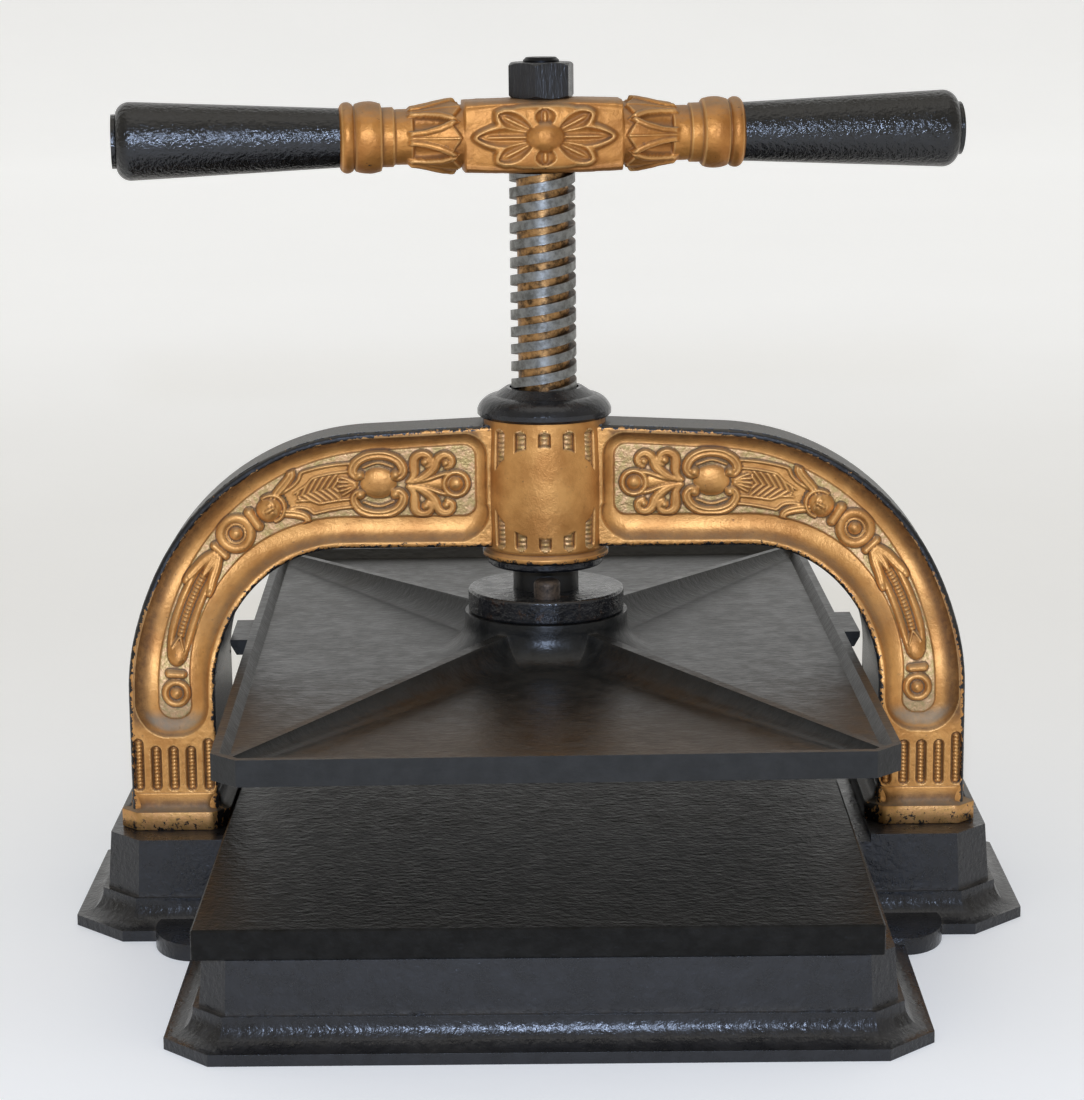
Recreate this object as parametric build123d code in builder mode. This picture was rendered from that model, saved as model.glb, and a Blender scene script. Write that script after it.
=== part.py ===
"""Cast-iron screw press for books and papers.

A hollow cast base carries a flat bed and a cast arch. A two-start square-thread spindle runs
in a nut in the arch's boss and drives a ribbed platen, which two lugs keep from turning
between the arch's legs. A cross handle with two grips sits on the spindle's square seat.

Millimetres, +Z up. The origin is on the floor under the spindle, +X is to the right and the
front, where the books go in, faces -Y.
"""

import os
from math import cos, radians, sin, sqrt

from build123d import *

os.makedirs("parts", exist_ok=True)

# Base casting: a long box under the bed, crossed by two pedestals under the arch
skirt_x, skirt_y, skirt_cut = 143.4, 207.2, 18.4
pedestal_skirt_x, pedestal_skirt_y, pedestal_cut = 197.4, 67.0, 22.0
skirt_edge = 4.5
cove_radius = 9.5
cove_ledge = 1.2
wall_ledge = 1.6
wall_taper = 4.0
box_top = 35.6
pedestal_top = 38.8
pedestal_inner_x = 133.6
shell = 9.0
lug_x, lug_y, lug_height = 18.0, 25.0, 7.0

# Bed slab, laid on the box a little off centre
bed_x, bed_y, bed_thickness = 256.5, 384.2, 11.6
bed_offset = -3.7
bed_top = box_top + bed_thickness

# Platen
platen_x, platen_y, platen_cut = 254.0, 381.0, 10.0
platen_bottom = 102.0
platen_surface = 108.0
platen_rim_top = 112.2
rim_width = 3.2
platen_skew = 1.2
hub_radius, hub_top = 34.4, 124.0
hub_fillet = 12.0
pocket_radius, pocket_floor = 16.5, 110.0
guide_reach, guide_front, guide_back, guide_top = 135.6, 14.0, 52.0, 108.6
guide_cut_x, guide_cut_z = 2.5, 4.4
rib_start, rib_stop = 26.0, 219.0
rib_base_start, rib_crest_start, rib_top_start = 38.0, 5.0, 119.5
rib_base_stop, rib_crest_stop, rib_top_stop = 13.0, 3.0, 111.6
rib_hollow_across, rib_hollow_up = 0.34, 0.28

# Keeper ring and its screws
ring_radius, ring_top = 32.9, 133.7
keeper_radius = 22.3
keeper_shank, keeper_head_radius, keeper_head_height = 2.7, 5.5, 7.7
keeper_depth = 11.5

# Spindle: square thread with two starts
thread_radius, core_radius = 13.7, 10.7
lead = 14.4
crest_share = 0.55
crest_height = 299.8
thread_clearance = 0.35
thread_bottom, thread_top = 150.0, 308.6
neck_radius, foot_radius = 13.8, 16.2
disc_thickness = 3.0
seat_size = 15.0
stud_radius = 7.4
spindle_top = 355.4
fit_gap = 0.1
snug_gap = 0.05

# Arch
leg_in, leg_out = 138.0, 174.0
crown_bottom = 153.2
crown_slope = 2.6
inner_radius, outer_radius = 53.5, 104.0
shoulder_z = 98.5
crown_half_depth, leg_half_depth = 13.5, 35.0
flare_top, flare_bottom = 160.0, 90.0
border, recess_depth = 8.0, 4.0
recess_start, recess_end = 31.0, 79.0
pad_x, pad_y, pad_cut, pad_height = 45.6, 77.0, 7.0, 8.0
pad_cove = 7.2
boss_radius, boss_bottom, boss_top = 26.0, 147.7, 207.3
sleeve_radius = 20.0

# Nut and cap
nut_shoulder_radius, nut_bottom, nut_top = 24.5, 144.3, 212.3
nut_relief = 153.5
cap_radius, cap_top, cap_lip, cap_edge = 28.1, 219.3, 1.1, 3.0
cap_crown_radius, cap_shoulder_radius, cap_shoulder = 16.2, 20.8, 3.1
lock_z, lock_radius, lock_head_radius, lock_head_height = 177.0, 3.0, 4.6, 3.2
lock_reach = 18.1

# Handle: stations along the bar from its middle
bar_z = 323.8
bar_turn = 6.0
block_half, block_height, block_depth = 32.5, 30.4, 30.0
neck_at, collar_at, bead_at, grip_at = 60.0, 64.3, 77.1, 83.3
grip_end, bar_end = 173.9, 175.5
lotus_radius, bar_neck_radius, collar_radius, bead_radius = 15.0, 11.3, 14.7, 14.5
tang_radius = 6.0
grip_small, grip_large, grip_round = 12.1, 16.2, 6.0
end_disc_radius = 11.0
nut_flats, nut_base, nut_height, nut_turn = 24.7, 339.0, 14.4, -9.2

# Hidden fasteners
frame_bolt_x, frame_bolt_y, frame_bolt_radius, frame_bolt_depth = 156.0, 22.0, 5.0, 25.0
bed_screw_x, bed_screw_y, bed_screw_radius = 88.0, 140.0, 3.0
washer_thickness = 2.0


def write(part, node):
    """Label a finished piece and write it as one file."""
    part.label = node
    export_step(part, f"parts/{node}.step")


def cut_rectangle(half_x, half_y, cut):
    """Sketch a rectangle whose four corners are cut off at 45 degrees."""
    with BuildSketch() as plan:
        Rectangle(2 * half_x, 2 * half_y)
        chamfer(plan.vertices(), cut)
    return plan.sketch


def plinth(half_x, half_y, cut, top):
    """A block with a flared skirt: upright edge, hollow cove, ledge and tapered wall."""
    inset = cove_radius + cove_ledge
    corner_loss = (inset + wall_ledge) * (2 - sqrt(2))
    cove_top = skirt_edge + cove_radius + 1
    outline = cut_rectangle(half_x, half_y, cut)
    with BuildPart() as block:
        add(outline)
        extrude(amount=cove_top)
        # one long cut along each side leaves the cove, mitred at the corners
        for edge in outline.edges():
            middle = edge @ 0.5
            direction = edge % 0.5
            outward = direction.cross(Vector(0, 0, 1))
            if outward.dot(middle) < 0:
                outward = -outward
            wall_foot = middle - outward * inset + Vector(0, 0, skirt_edge)
            with BuildSketch(Plane(wall_foot, x_dir=outward, z_dir=outward.cross(Vector(0, 0, 1)))):
                with Locations((cove_radius, cove_radius)):
                    Circle(cove_radius)
                with Locations((0, cove_radius)):
                    Rectangle(2 * inset, 2 * cove_radius, align=Align.MIN)
                with Locations((cove_radius, 0)):
                    Rectangle(2 * inset, 2 * cove_radius, align=Align.MIN)
            extrude(amount=edge.length, both=True, mode=Mode.SUBTRACT)
        with BuildSketch(Plane.XY.offset(skirt_edge)):
            add(cut_rectangle(half_x - inset - wall_ledge, half_y - inset - wall_ledge, cut - corner_loss))
        extrude(amount=top - skirt_edge, taper=wall_taper)
    return block.part


# --- base ---------------------------------------------------------------------------------

box_block = plinth(skirt_x, skirt_y, skirt_cut, box_top)
pedestal_block = plinth(pedestal_skirt_x, pedestal_skirt_y, pedestal_cut, pedestal_top)
wall_x = skirt_x - cove_radius - cove_ledge - wall_ledge - shell - 2
wall_y = skirt_y - cove_radius - cove_ledge - wall_ledge - shell - 2
pedestal_wall_x = pedestal_skirt_x - cove_radius - cove_ledge - wall_ledge - shell - 2
pedestal_wall_y = pedestal_skirt_y - cove_radius - cove_ledge - wall_ledge - shell - 2
web_x = wall_x + shell
rib_width, rib_bottom = 8.0, 10.0
boss_drop, boss_size = 8.0, 10.0

with BuildPart() as base_casting:
    add(box_block)
    add(pedestal_block)
    # the pedestals' extra height stops short of the bed slab
    with BuildSketch(Plane.XY.offset(box_top)):
        Rectangle(2 * pedestal_inner_x, 2 * pedestal_skirt_y)
    extrude(amount=pedestal_top, mode=Mode.SUBTRACT)
    # rounded lugs in the four inner corners of the cross
    with BuildSketch():
        with GridLocations(2 * skirt_x, 2 * pedestal_skirt_y, 2, 2):
            Ellipse(lug_x, lug_y)
    extrude(amount=lug_height)
    # hollow underside: one cavity under the bed, one in each pedestal
    with BuildSketch():
        Rectangle(2 * wall_x, 2 * wall_y)
        with GridLocations(pedestal_wall_x + web_x, 0, 2, 1):
            Rectangle(pedestal_wall_x - web_x, 2 * pedestal_wall_y)
    extrude(amount=box_top - shell, mode=Mode.SUBTRACT)
    # stiffening ribs and screw bosses under the bed
    with BuildSketch(Plane.XY.offset(rib_bottom)):
        Rectangle(rib_width, 2 * wall_y + 2)
        with GridLocations(0, 2 * wall_y / 3, 1, 2):
            Rectangle(2 * wall_x + 2, rib_width)
    extrude(amount=box_top - shell - rib_bottom + 1)
    with BuildSketch(Plane.XY.offset(box_top - shell - boss_drop)):
        with GridLocations(2 * bed_screw_x, 2 * bed_screw_y, 2, 2):
            Circle(boss_size)
    extrude(amount=boss_drop + 1)
    with BuildSketch():
        with GridLocations(2 * bed_screw_x, 2 * bed_screw_y, 2, 2):
            Circle(bed_screw_radius + 0.3)
        with GridLocations(2 * frame_bolt_x, 2 * frame_bolt_y, 2, 2):
            Circle(frame_bolt_radius + 0.5)
    extrude(amount=pedestal_top + 1, mode=Mode.SUBTRACT)
write(base_casting.part, "base_casting")

with BuildPart() as bed_plate:
    with BuildSketch(Plane((bed_offset, 0, box_top))):
        Rectangle(bed_x, bed_y)
    extrude(amount=bed_thickness)
    fillet(bed_plate.edges().filter_by(Axis.Z), 1.5)
    chamfer(bed_plate.faces().sort_by(Axis.Z)[-1].edges(), 0.8)
    with BuildSketch(Plane.XY.offset(box_top)):
        with GridLocations(2 * bed_screw_x, 2 * bed_screw_y, 2, 2):
            Circle(bed_screw_radius + snug_gap)
    extrude(amount=bed_thickness - 3, mode=Mode.SUBTRACT)
write(bed_plate.part, "bed_plate")


def hex_bolts(radius, shank_top, head_top, head_flats, head_height, spacing_x, spacing_y):
    """Four hexagon-headed bolts that point up, at the corners of a rectangle."""
    with BuildPart() as bolts:
        with BuildSketch(Plane.XY.offset(head_top - head_height)):
            with GridLocations(spacing_x, spacing_y, 2, 2):
                RegularPolygon(head_flats / 2, 6, major_radius=False)
        extrude(amount=head_height)
        with BuildSketch(Plane.XY.offset(head_top)):
            with GridLocations(spacing_x, spacing_y, 2, 2):
                Circle(radius)
        extrude(amount=shank_top - head_top)
        chamfer(bolts.faces().group_by(Axis.Z)[-1].edges(), 0.8)
    return bolts.part


def washers(inner, outer, bottom, spacing_x, spacing_y):
    """Four flat washers at the corners of a rectangle."""
    with BuildPart() as rings:
        with BuildSketch(Plane.XY.offset(bottom)):
            with GridLocations(spacing_x, spacing_y, 2, 2):
                Circle(outer)
                Circle(inner, mode=Mode.SUBTRACT)
        extrude(amount=washer_thickness)
    return rings.part


bed_washer_bottom = box_top - shell - boss_drop - washer_thickness
write(washers(3.3, 6.5, bed_washer_bottom, 2 * bed_screw_x, 2 * bed_screw_y), "bed_washers")
write(
    hex_bolts(bed_screw_radius, bed_top - 3.6, bed_washer_bottom, 10.0, 4.0, 2 * bed_screw_x,
              2 * bed_screw_y),
    "bed_screws",
)
frame_washer_bottom = box_top - shell - washer_thickness
write(washers(5.5, 10.5, frame_washer_bottom, 2 * frame_bolt_x, 2 * frame_bolt_y), "frame_washers")
write(
    hex_bolts(frame_bolt_radius, pedestal_top + frame_bolt_depth, frame_washer_bottom, 16.0, 6.5,
              2 * frame_bolt_x, 2 * frame_bolt_y),
    "frame_bolts",
)

# --- arch ---------------------------------------------------------------------------------

outer_centre = (leg_out - outer_radius, shoulder_z)
inner_centre = (leg_in - inner_radius, crown_bottom - inner_radius)
arc_start = 90 - crown_slope
tangent_x = outer_centre[0] + outer_radius * cos(radians(arc_start))
tangent_z = outer_centre[1] + outer_radius * sin(radians(arc_start))
crown_middle_z = tangent_z + tangent_x * sin(radians(crown_slope))
arch_reach, arch_width, arch_above = 60.0, leg_out + 10, 240.0


def arch_outline(inset, half_start, leg_bottom):
    """Right half of the arch's front view, moved in from its edges by inset."""
    with BuildSketch(Plane.XZ.offset(arch_reach)) as half:
        with BuildLine():
            outer = CenterArc(outer_centre, outer_radius - inset, arc_start, -arc_start)
            leg = Line(outer @ 1, (leg_out - inset, leg_bottom))
            foot = Line(leg @ 1, (leg_in + inset, leg_bottom))
            rise = Line(foot @ 1, (leg_in + inset, inner_centre[1]))
            inner = CenterArc(inner_centre, inner_radius + inset, 0, 90)
            under = Line(inner @ 1, (half_start, crown_bottom + inset))
            end = Line(under @ 1, (half_start, crown_middle_z - inset))
            Line(end @ 1, outer @ 0)
        make_face()
    return half.sketch


def side_view(extra):
    """The arch seen from the side: narrow crown, legs flared by two equal arcs each way."""
    spread = leg_half_depth - crown_half_depth
    drop = flare_top - flare_bottom
    radius = (spread**2 + drop**2) / (4 * spread)
    crown_y, leg_y = crown_half_depth + extra, leg_half_depth + extra
    middle = ((crown_y + leg_y) / 2, (flare_top + flare_bottom) / 2)
    with BuildSketch(Plane.YZ.offset(-arch_width)) as view:
        with BuildLine():
            Line((0, arch_above), (crown_y, arch_above))
            Line((crown_y, arch_above), (crown_y, flare_top))
            RadiusArc((crown_y, flare_top), middle, radius)
            RadiusArc(middle, (leg_y, flare_bottom), -radius)
            Line((leg_y, flare_bottom), (leg_y, 0))
            Line((leg_y, 0), (0, 0))
            Line((0, 0), (0, arch_above))
        make_face()
        mirror(about=Plane.YZ)
    return view.sketch


# two slabs, front and back, that sink the panels into the arms
with BuildPart() as panel_cutter:
    extrude(arch_outline(border, recess_start, recess_end), amount=2 * arch_reach, dir=(0, 1, 0))
    extrude(side_view(-recess_depth), amount=2 * arch_width, dir=(1, 0, 0), mode=Mode.SUBTRACT)
    mirror(about=Plane.YZ)

leg_middle = (leg_in + leg_out) / 2
with BuildPart() as arch_frame:
    extrude(arch_outline(0, 0, pedestal_top + 1), amount=2 * arch_reach, dir=(0, 1, 0))
    mirror(about=Plane.YZ)
    extrude(side_view(0), amount=2 * arch_width, dir=(1, 0, 0), mode=Mode.INTERSECT)
    # foot pads with a tapered moulding up to the legs
    with BuildSketch(Plane.XY.offset(pedestal_top)):
        with GridLocations(2 * leg_middle, 0, 2, 1):
            add(cut_rectangle(pad_x / 2, pad_y / 2, pad_cut))
    extrude(amount=pad_height)
    for side in (-1, 1):
        with BuildSketch(Plane((side * leg_middle, 0, pedestal_top + pad_height))):
            add(cut_rectangle(pad_x / 2 - 1, pad_y / 2 - 1, pad_cut))
        with BuildSketch(Plane((side * leg_middle, 0, pedestal_top + pad_height + pad_cove))):
            add(cut_rectangle((leg_out - leg_in) / 2 + 0.1, leg_half_depth + 0.1, 3.0))
        loft(ruled=True)
    # boss: a slightly barrelled cylinder with a small flange at its foot
    with BuildSketch(Plane.XZ):
        with BuildLine():
            Line((0, boss_bottom), (boss_radius, boss_bottom))
            Line((boss_radius, boss_bottom), (boss_radius, boss_bottom + 2.5))
            ThreePointArc(
                (boss_radius, boss_bottom + 2.5),
                (boss_radius + 0.6, (boss_bottom + boss_top) / 2),
                (boss_radius, boss_top),
            )
            Line((boss_radius, boss_top), (0, boss_top))
            Line((0, boss_top), (0, boss_bottom))
        make_face()
    revolve(axis=Axis.Z)
    with BuildSketch(Plane.XY.offset(boss_bottom - 1)):
        Circle(sleeve_radius)
    extrude(amount=boss_top, mode=Mode.SUBTRACT)
    add(panel_cutter.part, mode=Mode.SUBTRACT)
    # blind holes for the frame bolts, and the hole for the nut's lock screw at the back
    with BuildSketch(Plane.XY.offset(pedestal_top)):
        with GridLocations(2 * frame_bolt_x, 2 * frame_bolt_y, 2, 2):
            Circle(frame_bolt_radius + snug_gap)
    extrude(amount=frame_bolt_depth + 3, mode=Mode.SUBTRACT)
    with BuildSketch(Plane((0, 0, lock_z), z_dir=(0, 1, 0))):
        Circle(lock_radius + snug_gap)
    extrude(amount=40, mode=Mode.SUBTRACT)
write(arch_frame.part, "arch_frame")

# --- spindle, nut and cap --------------------------------------------------------------------


def thread_solid(core, crest, share, bottom, top):
    """A two-start square thread: a lobed section twisted along the axis."""
    half_lobe = 180 * share / 2
    # a lobe points along X at crest_height, so it starts turned back by the rise from there
    start = 360 * (bottom - crest_height) / lead
    with BuildSketch() as section:
        Circle(core)
        for lobe in (start, start + 180):
            with BuildLine():
                arc = CenterArc((0, 0), crest, lobe - half_lobe, 2 * half_lobe)
                Line((0, 0), arc @ 0)
                Line((0, 0), arc @ 1)
            make_face()
    return Solid.extrude_linear_with_rotation(
        section.sketch.faces()[0].moved(Location((0, 0, bottom))),
        (0, 0, bottom),
        (0, 0, top - bottom),
        360 * (top - bottom) / lead,
    )


foot_bottom = pocket_floor + disc_thickness + snug_gap
with BuildPart() as spindle:
    add(thread_solid(core_radius, thread_radius, crest_share, thread_bottom, thread_top))
    with BuildSketch(Plane.XY.offset(foot_bottom)):
        Circle(foot_radius)
    extrude(amount=hub_top - fit_gap - foot_bottom)
    with BuildSketch(Plane.XY.offset(foot_bottom)):
        Circle(neck_radius)
    extrude(amount=thread_bottom + 0.2 - foot_bottom)
    with BuildSketch(Plane.XY.offset(thread_top - 0.2).rotated((0, 0, bar_turn))):
        Rectangle(seat_size, seat_size)
    extrude(amount=bar_z + block_height / 2 - 1.5 - thread_top)
    with BuildSketch(Plane.XY.offset(thread_top)):
        Circle(stud_radius)
    extrude(amount=spindle_top - thread_top)
    chamfer(spindle.edges().sort_by(Axis.Z)[-1], 1.2)
write(spindle.part, "spindle")

with BuildPart() as spindle_nut:
    with BuildSketch(Plane.XY.offset(nut_bottom)):
        Circle(nut_shoulder_radius)
    extrude(amount=boss_bottom - nut_bottom)
    with BuildSketch(Plane.XY.offset(boss_bottom)):
        Circle(sleeve_radius - snug_gap)
    extrude(amount=nut_top - boss_bottom)
    # slot-wide grooves leave the spindle's thread free on every side
    groove_share = crest_share + 2 * thread_clearance / (lead / 2)
    add(
        thread_solid(core_radius + thread_clearance, thread_radius + thread_clearance, groove_share,
                     nut_bottom - 1, nut_top + 1),
        mode=Mode.SUBTRACT,
    )
    with BuildSketch(Plane.XY.offset(nut_bottom)):
        Circle(neck_radius + 0.5)
    extrude(amount=nut_relief - nut_bottom, mode=Mode.SUBTRACT)
    chamfer(spindle_nut.faces().sort_by(Axis.Z)[0].edges().sort_by(SortBy.LENGTH)[-1], 1.0)
    with BuildSketch(Plane((0, lock_reach - fit_gap, lock_z), z_dir=(0, 1, 0))):
        Circle(lock_radius + snug_gap)
    extrude(amount=4, mode=Mode.SUBTRACT)
write(spindle_nut.part, "spindle_nut")

with BuildPart() as nut_lock_screw:
    with BuildSketch(Plane((0, lock_reach, lock_z), z_dir=(0, 1, 0))):
        Circle(lock_radius)
    extrude(amount=boss_radius + 2.5 - lock_reach)
    with BuildSketch(Plane((0, boss_radius + 1.0, lock_z), z_dir=(0, 1, 0))):
        Circle(lock_head_radius)
    extrude(amount=lock_head_height)
    chamfer(nut_lock_screw.faces().sort_by(Axis.Y)[-1].edges(), 0.8)
    with BuildSketch(Plane((0, boss_radius + 1.0 + lock_head_height, lock_z), z_dir=(0, -1, 0))):
        Rectangle(10, 1.2)
    extrude(amount=1.4, mode=Mode.SUBTRACT)
write(nut_lock_screw.part, "nut_lock_screw")

with BuildPart() as nut_cap:
    with BuildSketch(Plane.XZ):
        with BuildLine():
            Polyline(
                (sleeve_radius + snug_gap, boss_top),
                (cap_radius - cap_lip, boss_top),
                (cap_radius, boss_top + cap_lip),
                (cap_radius, boss_top + cap_edge),
            )
            RadiusArc(
                (cap_radius, boss_top + cap_edge),
                (cap_shoulder_radius, cap_top - cap_shoulder),
                -8.5,
            )
            Polyline(
                (cap_shoulder_radius, cap_top - cap_shoulder),
                (cap_crown_radius, cap_top),
                (thread_radius + 0.8, cap_top),
                (thread_radius + 0.8, nut_top + 0.2),
                (sleeve_radius + snug_gap, nut_top + 0.2),
                (sleeve_radius + snug_gap, boss_top),
            )
        make_face()
    revolve(axis=Axis.Z)
write(nut_cap.part, "nut_cap")

# --- platen -----------------------------------------------------------------------------------

rib_angle_x, rib_angle_y = platen_x / 2 - platen_cut / 2, platen_y / 2 - platen_cut / 2


def rib_section(distance, base_width, crest_width, top, turn_x, turn_y):
    """A hollow-sided rib's cross-section, standing across its line at a distance from the hub."""
    along = Vector(turn_x, turn_y, 0).normalized()
    origin = along * distance + Vector(0, 0, platen_surface - 1)
    upright = Plane(origin, x_dir=along.cross(Vector(0, 0, 1)), z_dir=-along)
    base, crest, height = base_width / 2, crest_width / 2, top - platen_surface + 1
    hollow = (crest + rib_hollow_across * (base - crest), 1 + rib_hollow_up * (height - 1))
    with BuildSketch(upright) as section:
        with BuildLine():
            Polyline((-base, 1), (-base, 0), (base, 0), (base, 1))
            ThreePointArc((base, 1), hollow, (crest, height))
            Line((crest, height), (-crest, height))
            ThreePointArc((-crest, height), (-hollow[0], hollow[1]), (-base, 1))
        make_face()
    return section.sketch


with BuildPart() as platen:
    with BuildSketch(Plane.XY.offset(platen_bottom)):
        add(cut_rectangle(platen_x / 2, platen_y / 2, platen_cut))
    extrude(amount=platen_rim_top - platen_bottom)
    with BuildSketch(Plane.XY.offset(platen_rim_top)):
        add(cut_rectangle(platen_x / 2 - rim_width, platen_y / 2 - rim_width, platen_cut - 2.6))
    extrude(amount=platen_surface - platen_rim_top, taper=35, mode=Mode.SUBTRACT)
    # ribs from the hub towards the corners
    for turn_x in (-rib_angle_x, rib_angle_x):
        for turn_y in (-rib_angle_y, rib_angle_y):
            root = rib_section(rib_start, rib_base_start, rib_crest_start, rib_top_start, turn_x, turn_y)
            tip = rib_section(rib_stop, rib_base_stop, rib_crest_stop, rib_top_stop, turn_x, turn_y)
            loft([root.face(), tip.face()], ruled=True)
    # hub, with a wide hollow fillet to the plate
    with BuildSketch(Plane.XZ):
        with BuildLine():
            Line((0, platen_surface - 1), (hub_radius + hub_fillet, platen_surface - 1))
            Line((hub_radius + hub_fillet, platen_surface - 1), (hub_radius + hub_fillet, platen_surface))
            RadiusArc(
                (hub_radius + hub_fillet, platen_surface),
                (hub_radius, platen_surface + hub_fillet),
                hub_fillet,
            )
            Line((hub_radius, platen_surface + hub_fillet), (hub_radius, hub_top))
            Line((hub_radius, hub_top), (0, hub_top))
            Line((0, hub_top), (0, platen_surface - 1))
        make_face()
    revolve(axis=Axis.Z)
    # guide lugs, one towards each leg, with their lower outer edge cut to pass the foot pads
    with BuildSketch(Plane.XZ.offset(-guide_front)):
        for side in (-1, 1):
            with BuildLine():
                Polyline(
                    (side * (platen_x / 2 - 3), platen_bottom),
                    (side * (guide_reach - guide_cut_x), platen_bottom),
                    (side * guide_reach, platen_bottom + guide_cut_z),
                    (side * guide_reach, guide_top),
                    (side * (platen_x / 2 - 3), guide_top),
                    close=True,
                )
            make_face()
    extrude(amount=guide_front - guide_back)
    # pocket for the spindle's foot, and the keeper screws' holes
    with BuildSketch(Plane.XY.offset(pocket_floor)):
        Circle(pocket_radius)
    extrude(amount=20, mode=Mode.SUBTRACT)
    with BuildSketch(Plane.XY.offset(hub_top)):
        with Locations((0, keeper_radius), (0, -keeper_radius)):
            Circle(keeper_shank + snug_gap)
    extrude(amount=-(keeper_depth + 0.5), mode=Mode.SUBTRACT)
write(platen.part.rotate(Axis.Z, platen_skew), "platen")

with BuildPart() as thrust_disc:
    with BuildSketch(Plane.XY.offset(pocket_floor)):
        Circle(pocket_radius - fit_gap)
    extrude(amount=disc_thickness)
    chamfer(thrust_disc.edges().sort_by(Axis.Z)[-1], 0.4)
write(thrust_disc.part, "thrust_disc")

with BuildPart() as keeper_ring:
    with BuildSketch(Plane.XY.offset(hub_top)):
        Circle(ring_radius)
        Circle(neck_radius + fit_gap, mode=Mode.SUBTRACT)
        with Locations((0, keeper_radius), (0, -keeper_radius)):
            Circle(keeper_shank + 0.3, mode=Mode.SUBTRACT)
    extrude(amount=ring_top - hub_top)
    outer_edges = keeper_ring.edges().filter_by(GeomType.CIRCLE).sort_by(SortBy.RADIUS)[-2:]
    fillet(outer_edges, 1.2)
write(keeper_ring.part.rotate(Axis.Z, platen_skew), "keeper_ring")

with BuildPart() as keeper_screws:
    with BuildSketch(Plane.XY.offset(hub_top - keeper_depth)):
        with Locations((0, keeper_radius), (0, -keeper_radius)):
            Circle(keeper_shank)
    extrude(amount=ring_top - hub_top + keeper_depth)
    with BuildSketch(Plane.XY.offset(ring_top)):
        with Locations((0, keeper_radius), (0, -keeper_radius)):
            Circle(keeper_head_radius)
    extrude(amount=keeper_head_height)
    fillet(keeper_screws.faces().group_by(Axis.Z)[-1].edges(), 2.2)
write(keeper_screws.part.rotate(Axis.Z, platen_skew), "keeper_screws")

# --- handle -----------------------------------------------------------------------------------

# upright plane along the bar: x runs along the bar, y is up
bar_dir = (cos(radians(bar_turn)), sin(radians(bar_turn)), 0)
bar_plane = Plane((0, 0, bar_z), x_dir=bar_dir, z_dir=(bar_dir[1], -bar_dir[0], 0))
bar_axis = Axis(bar_plane.origin, bar_plane.x_dir)
across_plane = Plane((0, 0, bar_z), x_dir=(-bar_dir[1], bar_dir[0], 0), z_dir=bar_dir)
neck_end = neck_at + (collar_at - neck_at) / 2
groove_radius = bead_radius - 1.3


def bar_half(side):
    """Half of the bar's outline: lotus section, neck, collar, bead and the grip's tang."""
    with BuildSketch(bar_plane) as half:
        with BuildLine():
            Line((0, 0), (0, lotus_radius - 1))
            Line((0, lotus_radius - 1), (side * block_half, lotus_radius))
            Spline(
                (side * block_half, lotus_radius),
                (side * (block_half + neck_at) / 2, (lotus_radius + bar_neck_radius) / 2),
                (side * neck_at, bar_neck_radius),
                tangents=((side * 1, -0.1), (side * 1, 0)),
            )
            Line((side * neck_at, bar_neck_radius), (side * neck_end, bar_neck_radius))
            Line((side * neck_end, bar_neck_radius), (side * collar_at, collar_radius - 0.8))
            ThreePointArc(
                (side * collar_at, collar_radius - 0.8),
                (side * (collar_at + bead_at) / 2, collar_radius),
                (side * bead_at, groove_radius),
            )
            ThreePointArc(
                (side * bead_at, groove_radius),
                (side * (bead_at + grip_at) / 2, bead_radius),
                (side * grip_at, groove_radius),
            )
            Line((side * grip_at, groove_radius), (side * grip_at, tang_radius))
            Line((side * grip_at, tang_radius), (side * bar_end, tang_radius))
            Line((side * bar_end, tang_radius), (side * bar_end, 0))
            Line((side * bar_end, 0), (0, 0))
        make_face()
    return half.sketch


with BuildPart() as crossbar:
    for side in (-1, 1):
        revolve(bar_half(side), axis=bar_axis)
    # middle block, crowned on top and below, with rounded long edges
    with BuildSketch(across_plane):
        RectangleRounded(block_depth, block_height, 6)
    extrude(amount=block_half, both=True)
    with BuildSketch(Plane.XY.offset(bar_z - 30).rotated((0, 0, bar_turn))):
        Rectangle(seat_size + 2 * fit_gap, seat_size + 2 * fit_gap)
    extrude(amount=60, mode=Mode.SUBTRACT)
write(crossbar.part, "crossbar")


def grip(side):
    """A tapered grip, bored for the tang and rounded at its thick end."""
    with BuildPart() as handle:
        with BuildSketch(bar_plane) as outline:
            with BuildLine():
                Polyline(
                    (side * grip_at, tang_radius + fit_gap),
                    (side * grip_at, grip_small),
                    (side * grip_end, grip_large),
                    (side * grip_end, tang_radius + fit_gap),
                    close=True,
                )
            make_face()
            fillet(outline.vertices().sort_by_distance((side * 2 * grip_end, grip_end))[0], grip_round)
        revolve(axis=bar_axis)
    return handle.part


def end_disc(side):
    """The washer that the tang is riveted over."""
    with BuildPart() as disc:
        with BuildSketch(across_plane.offset(side * grip_end)):
            Circle(end_disc_radius)
            Circle(tang_radius + fit_gap, mode=Mode.SUBTRACT)
        extrude(amount=side * (bar_end - grip_end))
    return disc.part


write(grip(-1), "grip_left")
write(grip(1), "grip_right")
write(end_disc(-1), "grip_disc_left")
write(end_disc(1), "grip_disc_right")

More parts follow.
